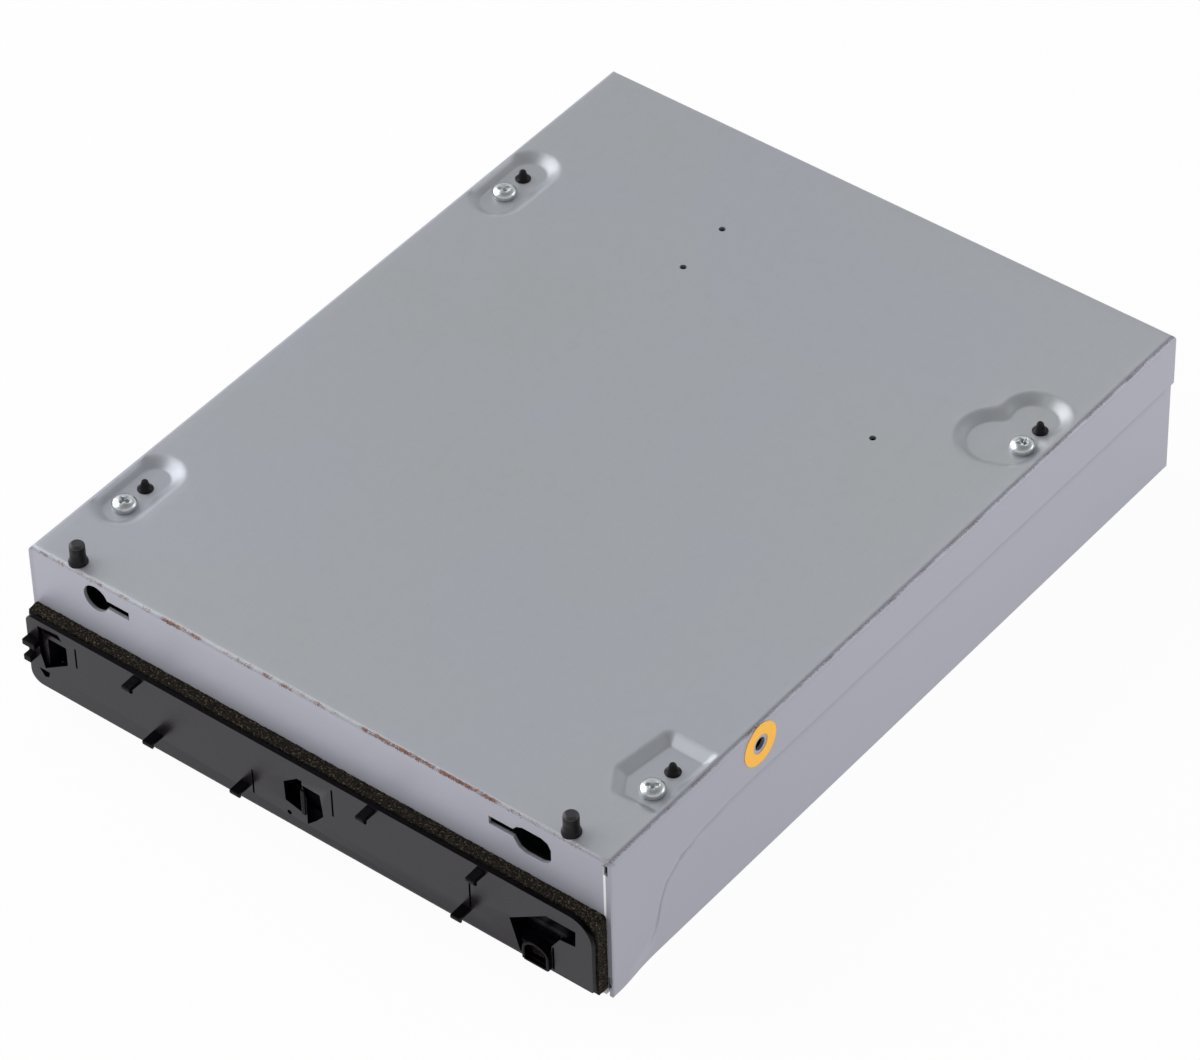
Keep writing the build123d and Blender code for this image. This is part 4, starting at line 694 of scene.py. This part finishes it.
def cover_cutters():
    """Closed shapes for the cover's holes, keyholes and corner relief."""
    holes = bmesh.new()
    for x, y in SCREWS:
        add_rod(holes, (x, y, 35.0), 1.6, 8.0)
        add_rod(holes, (x, y + PEG_STEP, 35.0), 1.65, 8.0)
    for x, y in POSTS:
        add_rod(holes, (x, y, 37.0), 2.1, 3.0)
    for x, y in SMALL_HOLES:
        add_rod(holes, (x, y, 37.0), 0.75, 4.0, segments=24)
    key_x, key_z = LEFT_KEYHOLE
    near, far = FLANGE_CUT
    add_rod(holes, (key_x, (near + far) / 2, key_z), 3.2, 4.0, "Y")
    add_rod(holes, (74.0, *EJECT_HOLE), 1.5, 4.0, "X", segments=28)
    slots = bmesh.new()
    add_block(slots, (key_x, near, key_z - 1.05), (-47.5, far, key_z + 1.05))
    add_prism(slots, KEYHOLE, near, far)
    reliefs = bmesh.new()
    add_block(reliefs, (FLANGE_END - 0.3, -97.0, 33.6), (73.5, -93.4, 36.2))
    add_block(reliefs, (72.0, -97.0, 2.6), (73.7, -94.7, 3.9))
    add_block(reliefs, (-75.0, -94.44, 17.0), (-73.0, -94.22, 35.9))
    return [holes, slots, reliefs]


def paint_joggle_shade(cover):
    """Stores a soft painted shade line along the joggle on the side walls, for the finish to read.
    """
    points = cover.data.vertices
    marks = cover.data.attributes.new("joggle_shade_line", "FLOAT", "POINT")
    for number, vertex in enumerate(points):
        x, y, z = vertex.co / MM
        if abs(x) > 72.5 and z < 35.0 and abs(y) < 95.0:
            gap = abs(distance_to_outline((y, z), JOGGLE) + 0.1)
            share = 0.55 + 0.45 * smooth_step((-64 - y) / 10)
            if y < -70:
                share *= smooth_step((z - 3) / 6)
            marks.data[number].value = smooth_step(1.3 - gap) * smooth_step((95 - y) / 3) * share


def build_tray_outline(settings):
    """Rounded outline of the front plate as XZ points."""
    low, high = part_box("tray_front")
    left, right = low.x / MM, high.x / MM
    bottom, top = low.z / MM, high.z / MM
    big, small = settings.big_corner / MM, settings.small_corner / MM
    corners = [(right, top, big, 0), (left, top, small, 90), (left, bottom, 3.0, 180),
               (right, bottom, 0.4, 270)]
    outline = []
    for x, z, radius, start in corners:
        cx = x - radius if x > 0 else x + radius
        cz = z - radius if z > 13 else z + radius
        for step in range(9):
            turn = math.radians(start + 90 * step / 8)
            outline.append((cx + radius * math.cos(turn), cz + radius * math.sin(turn)))
    return outline


# Places on the front plate as (X, Z) points; a slit is its X and its lower and upper Z
TRAY_FACE = -99.55
TAB_ROOTS = [(-42.7, 22.0), (17.9, 22.0), (45.5, 22.0), (-38.3, 9.2), (-15.3, 9.2), (41.2, 9.0)]
SLITS = [(-13.1, 7.3, 13.8), (7.8, 13.3, 20.6), (42.4, 9.4, 16.4), (-59.4, 14.7, 20.1),
         (62.9, 4.9, 11.0)]
RIGHT_SOCKET = [(54.6, 5.0), (52.2, 12.7), (61.3, 18.8), (62.0, 20.0), (68.7, 19.8),
                (68.5, 14.7), (64.7, 14.3), (62.5, 11.0), (62.0, 7.5), (61.6, 5.0)]
LEFT_SOCKET = [(-69.5, 20.8), (-64.0, 21.4), (-61.9, 18.7), (-61.9, 14.0), (-68.4, 9.6),
               (-69.5, 13.8)]
MIDDLE_LEFT = [(-4.8, 15.6), (-1.2, 18.4), (0.0, 18.4), (0.0, 9.4), (-4.6, 10.6)]
MIDDLE_RIGHT = [(0.0, 17.4), (4.6, 17.2), (5.2, 11.6), (3.2, 9.2), (0.9, 7.0), (0.9, 14.0)]


def tray_cutters(face, back):
    """Closed shapes for the sockets and slits of the front plate."""
    sockets = bmesh.new()
    for outline in (RIGHT_SOCKET, LEFT_SOCKET, MIDDLE_LEFT):
        add_prism(sockets, outline, face - 0.5, back)
    bmesh.ops.recalc_face_normals(sockets, faces=sockets.faces)
    second = bmesh.new()
    add_prism(second, MIDDLE_RIGHT, face - 0.5, back)
    for x, low, high in SLITS:
        add_block(second, (x - 0.22, face - 0.5, low), (x + 0.22, face + 0.7, high))
    add_rod(second, (-3.8, face, 7.5), 0.55, 1.6, "Y", segments=20)
    notch = [(-70.2, 8.9), (-67.3, 8.9), (-67.7, 7.4), (-68.8, 7.0)]
    add_prism(second, notch, face - 0.5, face + 0.9)
    return [sockets, second]


def build_tray_details(face):
    """Clip tabs and the small hooks at the sockets, as separate closed shapes."""
    bm = bmesh.new()
    for x, z in TAB_ROOTS:
        tab = add_block(bm, (x - 1.1, face - 3.6, z - 1.1), (x + 1.1, face + 0.4, z))
        for vertex in tab:
            if vertex.co.y / MM < face - 1:
                vertex.co.z += 0.12 * MM if vertex.co.z / MM < z - 0.5 else -0.12 * MM
        barb = add_block(bm, (x - 1.1, face - 3.6, z - 1.8), (x + 1.1, face - 2.5, z - 0.9))
        for vertex in barb:
            if vertex.co.z / MM < z - 1.5 and vertex.co.y / MM < face - 3:
                vertex.co.y += 0.6 * MM
    turns = [math.pi * step / 14 for step in range(15)]
    arch = [(55.85, 4.7)] + [(59.15 - 3.3 * math.cos(t), 7.6 + 2.7 * math.sin(t)) for t in turns]
    arch += [(62.45, 4.7), (61.8, 4.7)]
    arch += [(59.15 + 2.65 * math.cos(t), 7.6 + 2.1 * math.sin(t)) for t in turns]
    add_prism(bm, arch + [(56.5, 4.7)], face - 1.0, face + 1.6)
    add_block(bm, (56.2, face - 0.9, 4.3), (62.1, face + 0.4, 4.8))
    add_block(bm, (-72.2, face - 2.1, 15.9), (-68.9, face + 0.4, 17.3))
    add_block(bm, (-72.4, face - 1.9, 11.3), (-70.6, face + 0.4, 12.8))
    add_block(bm, (-0.3, face - 0.3, 9.4), (0.7, face + 0.6, 16.0))
    bmesh.ops.recalc_face_normals(bm, faces=bm.faces)
    return bm


def build_tray_rim(back):
    """The rim and ribs that carry the front plate on the tray, as separate closed shapes."""
    low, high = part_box("foam_gasket")
    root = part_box("disc_tray")[0].y / MM
    side = high.x / MM - 3.9
    bottom, top = low.z / MM + 3.5, high.z / MM - 3.9
    bm = bmesh.new()
    for x in (-side, side - 1.2):
        add_block(bm, (x, back - 0.1, bottom), (x + 1.2, root, top))
    for z in (bottom, top - 1.2):
        add_block(bm, (-side + 1.2, back - 0.1, z), (side - 1.2, root, z + 1.2))
    for x in (-50.0, -30.0, -9.0, 9.0, 30.0, 50.0):
        add_block(bm, (x - 0.6, back - 0.1, bottom + 1.2), (x + 0.6, root, top - 1.2))
    bmesh.ops.recalc_face_normals(bm, faces=bm.faces)
    return bm


class DRIVE_OT_cover(bpy.types.Operator):
    """Make the pressed steel cover with its dimples, holes and worn folds"""
    bl_idname = "drive.cover"
    bl_label = "Pressed cover"

    def execute(self, context):
        settings = context.scene.drive_cover
        cover = mesh_object(build_cover_shell(settings), "pressed_cover",
                            zinc_sheet_finish(settings))
        wall = cover.modifiers.new("sheet", "SOLIDIFY")
        wall.thickness = settings.sheet
        wall.offset = -1.0
        wall.use_even_offset = True
        apply_modifiers(cover)
        cut(cover, cover_cutters())
        # Painted shade line along the joggle, stored on the cover's points
        paint_joggle_shade(cover)
        shade(cover, 35.0)
        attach(cover, "casing")
        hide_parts("service_cover")
        return {"FINISHED"}


class DRIVE_OT_foam(bpy.types.Operator):
    """Make the open-cell foam ring behind the tray front"""
    bl_idname = "drive.foam"
    bl_label = "Foam ring"

    def execute(self, context):
        settings = context.scene.drive_foam
        low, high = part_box("foam_gasket")
        strip, floor_strip, radius = 3.5 * MM, 2.9 * MM, 1.2 * MM
        bm = bmesh.new()
        for near, far in (((low.x, low.y, low.z), (low.x + strip, high.y, high.z)),
                          ((high.x - strip, low.y, low.z), (high.x, high.y, high.z)),
                          ((low.x + strip, low.y, high.z - strip),
                           (high.x - strip, high.y, high.z)),
                          ((low.x + strip, low.y, low.z),
                           (high.x - strip, high.y, low.z + floor_strip))):
            add_block(bm, [v / MM for v in near], [v / MM for v in far])
        for axis, start, end in ((0, low.x, high.x), (1, low.y, high.y), (2, low.z, high.z)):
            normal = Vector([1.0 if axis == a else 0.0 for a in range(3)])
            steps = round((end - start) / settings.pitch)
            marks = [start + (end - start) * n / steps for n in range(1, steps)]
            if axis == 0:
                marks += [low.x + strip, high.x - strip]
            if axis == 2:
                marks += [low.z + floor_strip, high.z - strip]
            for mark in marks:
                geometry = bm.verts[:] + bm.edges[:] + bm.faces[:]
                bmesh.ops.bisect_plane(bm, geom=geometry, plane_co=normal * mark,
                                       plane_no=normal, dist=1e-6)
        bmesh.ops.remove_doubles(bm, verts=bm.verts, dist=1e-5)
        double = {}
        for face in bm.faces:
            place = face.calc_center_median()
            key = tuple(round(v / MM, 2) for v in place)
            double.setdefault(key, []).append(face)
        inside = [f for faces in double.values() if len(faces) > 1 for f in faces]
        bmesh.ops.delete(bm, geom=inside, context="FACES")
        bmesh.ops.remove_doubles(bm, verts=bm.verts, dist=1e-5)
        bmesh.ops.recalc_face_normals(bm, faces=bm.faces)
        for vertex in bm.verts:
            cx, cz = high.x - radius, high.z - radius
            away = Vector((vertex.co.x - cx, 0, vertex.co.z - cz))
            if away.x > 0 and away.z > 0:
                reach = max(away.x, away.z)
                if away.length > 1e-9:
                    spot = away.normalized() * reach
                    vertex.co.x, vertex.co.z = cx + spot.x, cz + spot.z
        bm.normal_update()
        for vertex in bm.verts:
            coarse = noise.noise(vertex.co / (1.1 * MM))
            fine = noise.noise(vertex.co / (0.55 * MM) + Vector((7.0, 3.0, 1.0)))
            push = (coarse * 0.6 + fine * 0.6 - 0.35) * settings.roughness
            if vertex.co.y > high.y - 0.1 * MM:
                push = min(push, 0.0)
            vertex.co += vertex.normal * push
        foam = mesh_object(bm, "foam_ring", foam_finish(settings), 80.0)
        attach(foam, "casing")
        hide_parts("foam_gasket")
        return {"FINISHED"}


class DRIVE_OT_tray_front(bpy.types.Operator):
    """Make the tray front with its clip tabs, sockets and slits"""
    bl_idname = "drive.tray_front"
    bl_label = "Tray front"

    def execute(self, context):
        settings = context.scene.drive_tray_front
        face = TRAY_FACE
        back = face + settings.thickness / MM
        plastic = moulded_finish("black_moulding", settings.plastic, 0.24, 0.4, 0.03, gloss=0.34)
        # Painted shade: a darker copy of the black plastic for the clip tabs, socket floors and the
        # plate's edges that shade falls on
        painted_shade = moulded_finish("painted_shade_moulding", scaled(settings.plastic, 0.2), 0.25, 0.3, 0.03,
                                gloss=0.08)
        bm = bmesh.new()
        add_prism(bm, build_tray_outline(settings), face, back)
        bmesh.ops.recalc_face_normals(bm, faces=bm.faces)
        plate = mesh_object(bm, "tray_front_plate", plastic)
        cut(plate, tray_cutters(face, back + 1.0))
        soften(plate, 0.14, 40)
        plate.data.materials.append(painted_shade)
        # Painted shadow: the plate's faces turned up or to the right take the darker copy
        for polygon in plate.data.polygons:
            if polygon.normal.z > 0.5 or polygon.normal.x > 0.6:
                polygon.material_index = 1
        shade(plate, 18.0)
        boxes = bmesh.new()
        depth = back + settings.socket_depth / MM
        for outline in (RIGHT_SOCKET, LEFT_SOCKET, MIDDLE_LEFT + MIDDLE_RIGHT):
            xs = [x for x, z in outline]
            zs = [z for x, z in outline]
            low_x, high_x = max(-69.0, min(xs) - 0.5), min(68.9, max(xs) + 0.5)
            low_z, high_z = max(6.3, min(zs) - 0.5), min(18.6, max(zs) + 0.5)
            add_block(boxes, (low_x, depth - 0.5, low_z), (high_x, depth, high_z))
        # The socket floors and clip tabs take the painted shade copy
        walls = mesh_object(boxes, "socket_floors", painted_shade)
        details = mesh_object(build_tray_details(face), "clip_tabs", painted_shade)
        soften(details, 0.12)
        shade(details, 18.0)
        rim = mesh_object(build_tray_rim(back), "tray_front_rim", plastic)
        for piece in (plate, walls, details, rim):
            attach(piece, "tray")
        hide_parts("tray_front")
        return {"FINISHED"}


class DRIVE_OT_pegs(bpy.types.Operator):
    """Make the flared feet of the locating posts and pegs"""
    bl_idname = "drive.pegs"
    bl_label = "Locating pegs"

    def execute(self, context):
        settings = context.scene.drive_tray_front
        floor_z = TOP_Z - context.scene.drive_cover.dimple / MM
        peg = [(0.0, 2.3), (0.5, 2.24), (0.72, 2.0), (0.9, 1.2), (1.15, 0.7), (1.5, 0.35),
               (1.72, 0.12), (1.72, 0.0), (0.0, 0.0)]
        post = [(1.5, 4.3), (1.66, 4.2), (1.68, 2.6), (1.66, 2.5), (1.68, 2.4), (1.7, 1.1),
                (1.85, 0.7), (2.04, 0.4), (2.06, 0.02), (1.5, 0.02)]
        bm = bmesh.new()
        for x, y in SCREWS:
            lathe(bm, (x, y + PEG_STEP, floor_z), peg, 36)
        for x, y in POSTS:
            lathe(bm, (x, y, TOP_Z), post, 36)
        bmesh.ops.remove_doubles(bm, verts=bm.verts, dist=1e-7)
        bmesh.ops.recalc_face_normals(bm, faces=bm.faces)
        plastic = moulded_finish("peg_moulding", scaled(settings.plastic, 0.35), 0.3, 0.5, 0.05,
                                 gloss=0.2)
        pegs = mesh_object(bm, "peg_feet", plastic, 30.0)
        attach(pegs, "casing")
        return {"FINISHED"}


class DRIVE_OT_screws(bpy.types.Operator):
    """Make the four pan-head screws with their cross recess"""
    bl_idname = "drive.screws"
    bl_label = "Case screws"

    def execute(self, context):
        settings = context.scene.drive_screws
        radius = settings.head / 2 / MM
        height = settings.head_height / MM
        bm = bmesh.new()
        profile = [(0.0, height), (radius * 0.45, height * 0.97), (radius * 0.78, height * 0.82),
                   (radius * 0.95, height * 0.52), (radius, height * 0.2), (radius * 0.97, 0.0),
                   (1.2, 0.0), (1.2, -8.0), (0.0, -8.4)]
        lathe(bm, (0, 0, 0), profile, 48)
        bmesh.ops.remove_doubles(bm, verts=bm.verts, dist=1e-7)
        bmesh.ops.recalc_face_normals(bm, faces=bm.faces)
        zinc = metal_finish("bright_zinc", settings.zinc, 0.22)
        screw = mesh_object(bm, "screw_heads", zinc)
        cross = []
        reach = settings.recess / 2 / MM
        for turn in (0.0, math.pi / 2):
            arm = bmesh.new()
            block = add_block(arm, (-reach, -0.42, 0.45), (reach, 0.42, 3.0))
            for vertex in block:
                if vertex.co.z < 1 * MM:
                    vertex.co.x *= 0.45
            bmesh.ops.rotate(arm, verts=arm.verts, cent=(0, 0, 0),
                             matrix=Matrix.Rotation(turn + 0.5, 3, "Z"))
            cross.append(arm)
        cut(screw, cross)
        bm = bmesh.new()
        turns = (0.35, 1.1, 0.75, 0.15)
        for (x, y), turn in zip(SCREWS, turns):
            start = len(bm.verts)
            bm.from_mesh(screw.data)
            bm.verts.ensure_lookup_table()
            fresh = bm.verts[start:]
            bmesh.ops.rotate(bm, verts=fresh, cent=(0, 0, 0), matrix=Matrix.Rotation(turn, 3, "Z"))
            bmesh.ops.translate(bm, verts=fresh, vec=(x * MM, y * MM, SCREW_SEAT * MM))
        bm.to_mesh(screw.data)
        bm.free()
        soften(screw, 0.08, 45)
        shade(screw, 40.0)
        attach(screw, "casing")
        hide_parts("case_screws")
        return {"FINISHED"}


class DRIVE_OT_finishes(bpy.types.Operator):
    """Give every CAD node the finish of its material slot"""
    bl_idname = "drive.finishes"
    bl_label = "Finishes"

    def execute(self, context):
        cover = context.scene.drive_cover
        tray = context.scene.drive_tray_front
        finishes = {
            "zinc_steel": zinc_sheet_finish(cover, "inner_zinc_sheet", worn_and_shaded=False),
            "black_plastic": moulded_finish("frame_moulding", screen_colour(34, 34, 38), 0.42),
            "tray_plastic": moulded_finish("tray_moulding", tray.plastic, 0.34),
            "white_plastic": moulded_finish("natural_moulding", screen_colour(222, 220, 206), 0.4),
            "foam": foam_finish(context.scene.drive_foam),
            "screw_zinc": metal_finish("plated_screws", screen_colour(206, 208, 210), 0.28),
            "orange_film": glowing_film_finish(),
            "board_green": board_finish(),
            "chip_black": moulded_finish("chip_package", screen_colour(30, 30, 32), 0.55, 0.8),
            "contact_metal": metal_finish("plated_contacts", screen_colour(222, 196, 130), 0.3),
            "rubber": rubber_finish(),
            "steel": metal_finish("ground_steel", screen_colour(190, 192, 196), 0.3,
                                  (1.0, 0.1, 1.0)),
            "copper": metal_finish("copper_and_brass", screen_colour(196, 128, 84), 0.35),
            "magnet": metal_finish("sintered_magnet", screen_colour(74, 74, 78), 0.55),
            "die_cast": metal_finish("die_cast_alloy", screen_colour(176, 178, 180), 0.45),
            "glass": lens_finish(),
        }
        for entry in frame["record"]["subparts"]:
            node = frame["nodes"][entry["node"]]
            node.data.materials.clear()
            node.data.materials.append(finishes[entry["material_slot"]])
        return {"FINISHED"}


class DRIVE_OT_stage(bpy.types.Operator):
    """Make the floor, lamps, world and camera"""
    bl_idname = "drive.stage"
    bl_label = "Stage"

    def execute(self, context):
        settings = context.scene.drive_stage
        scene = context.scene
        bm = bmesh.new()
        bmesh.ops.create_grid(bm, x_segments=8, y_segments=8, size=settings.floor / 2)
        bmesh.ops.translate(bm, verts=bm.verts, vec=(0, 0, -0.05 * MM))
        floor_finish = Finish("pale_floor")
        rays = floor_finish.node("ShaderNodeLightPath", {}, {}, "Is Camera Ray")
        path = rays.socket.node
        glossy = Field(floor_finish, path.outputs["Is Glossy Ray"])
        drift = floor_finish.noise(0.004, 2.0)
        tone = floor_finish.blend(drift * 0.1, settings.floor_colour, (0.86, 0.86, 0.86))
        floor_finish.set(Base_Color=tone, Roughness=0.9)
        glow = floor_finish.node("ShaderNodeEmission", {}, {"Color": (1, 1, 1, 1),
                                                            "Strength": 1.0})
        surface = floor_finish.tree.nodes["Material Output"].inputs["Surface"]
        shader = Field(floor_finish, floor_finish.shader.outputs[0])
        share = rays * 0.96 + glossy * 0.9
        mixed = floor_finish.node("ShaderNodeMixShader", {}, {0: share.math("MINIMUM", 1.0),
                                                              1: shader, 2: glow})
        floor_finish.tree.links.new(mixed.socket, surface)
        floor = mesh_object(bm, "floor", floor_finish.material)
        world = bpy.data.worlds.new("studio")
        scene.world = world
        world.use_nodes = True
        nodes = Nodes(world.node_tree)
        place = nodes.node("ShaderNodeTexCoord", {}, {}, "Generated")
        up = nodes.node("ShaderNodeSeparateXYZ", {}, {0: place}, "Z")
        height = nodes.node("ShaderNodeMapRange", {"interpolation_type": "SMOOTHSTEP"},
                            {"Value": up, "To Min": 0.85, "To Max": 0.27})
        seen = nodes.node("ShaderNodeLightPath", {}, {}, "Is Camera Ray")
        strength = nodes.node("ShaderNodeMapRange", {}, {"Value": seen, "To Min": height})
        background = nodes.tree.nodes["Background"]
        background.inputs["Color"].default_value = (1.0, 1.0, 1.0, 1.0)
        nodes.tree.links.new(strength.socket, background.inputs["Strength"])
        lamps = [("key", (-1.65, -0.4, 1.0), 2.2, 36.5), ("side", (1.3, 1.35, 0.3), 1.2, 6.4),
                 ("back", (-0.4, 1.1, 1.5), 0.5, 1.5)]
        for name, place, size, power in lamps:
            lamp = bpy.data.lights.new(name, "AREA")
            lamp.shape = "SQUARE"
            lamp.size = size
            lamp.energy = power
            holder = bpy.data.objects.new(name, lamp)
            holder.location = place
            holder.rotation_euler = (-Vector(place)).to_track_quat("-Z", "Y").to_euler()
            scene.collection.objects.link(holder)
        camera = bpy.data.cameras.new("camera")
        camera.lens = settings.lens
        camera.sensor_width = 36.0
        camera.clip_start = 0.01
        camera.clip_end = 50.0
        viewer = bpy.data.objects.new("camera", camera)
        right = Vector((0.78671, 0.61694, -0.02135))
        back = Vector((0.46391, -0.56804, 0.67979)).normalized()
        right = (right - back * right.dot(back)).normalized()
        up = back.cross(right)
        viewer.matrix_world = Matrix.Translation((0.58714, -0.72343, 0.87554)) @ Matrix(
            (right, up, back)).transposed().to_4x4()
        scene.collection.objects.link(viewer)
        scene.camera = viewer
        scene.view_settings.view_transform = "Standard"
        return {"FINISHED"}


class DRIVE_PT_panel(bpy.types.Panel):
    """Lists the sizes, colours and steps of the drive"""
    bl_idname = "DRIVE_PT_panel"
    bl_label = "Disc drive"
    bl_space_type = "VIEW_3D"
    bl_region_type = "UI"
    bl_category = "Disc drive"

    def draw(self, context):
        for name, settings, operator in STEPS:
            box = self.layout.box()
            if settings:
                group = getattr(context.scene, settings)
                for key in group.bl_rna.properties.keys():
                    if key not in ("rna_type", "name"):
                        box.prop(group, key)
            box.operator(f"drive.{operator}", text=name)


GROUPS = {"drive_cover": CoverSettings, "drive_tray_front": TrayFrontSettings,
          "drive_foam": FoamSettings, "drive_screws": ScrewSettings,
          "drive_stage": StageSettings}
STEPS = [("Finishes", None, "finishes"), ("Pressed cover", "drive_cover", "cover"),
         ("Foam ring", "drive_foam", "foam"), ("Tray front", "drive_tray_front", "tray_front"),
         ("Locating pegs", None, "pegs"), ("Case screws", "drive_screws", "screws"),
         ("Stage", "drive_stage", "stage")]
CLASSES = [*GROUPS.values(), DRIVE_OT_finishes, DRIVE_OT_cover, DRIVE_OT_foam,
           DRIVE_OT_tray_front, DRIVE_OT_pegs, DRIVE_OT_screws, DRIVE_OT_stage, DRIVE_PT_panel]


def register():
    """Adds the classes and the settings to Blender."""
    for one in CLASSES:
        bpy.utils.register_class(one)
    for name, group in GROUPS.items():
        setattr(bpy.types.Scene, name, bpy.props.PointerProperty(type=group))


def unregister():
    """Takes the settings and the classes out again."""
    for name in GROUPS:
        delattr(bpy.types.Scene, name)
    for one in reversed(CLASSES):
        bpy.utils.unregister_class(one)


def main():
    """Runs every step."""
    register()
    for _, _, operator in STEPS:
        getattr(bpy.ops.drive, operator)()
    bpy.context.view_layer.update()


if __name__ == "__main__":
    main()
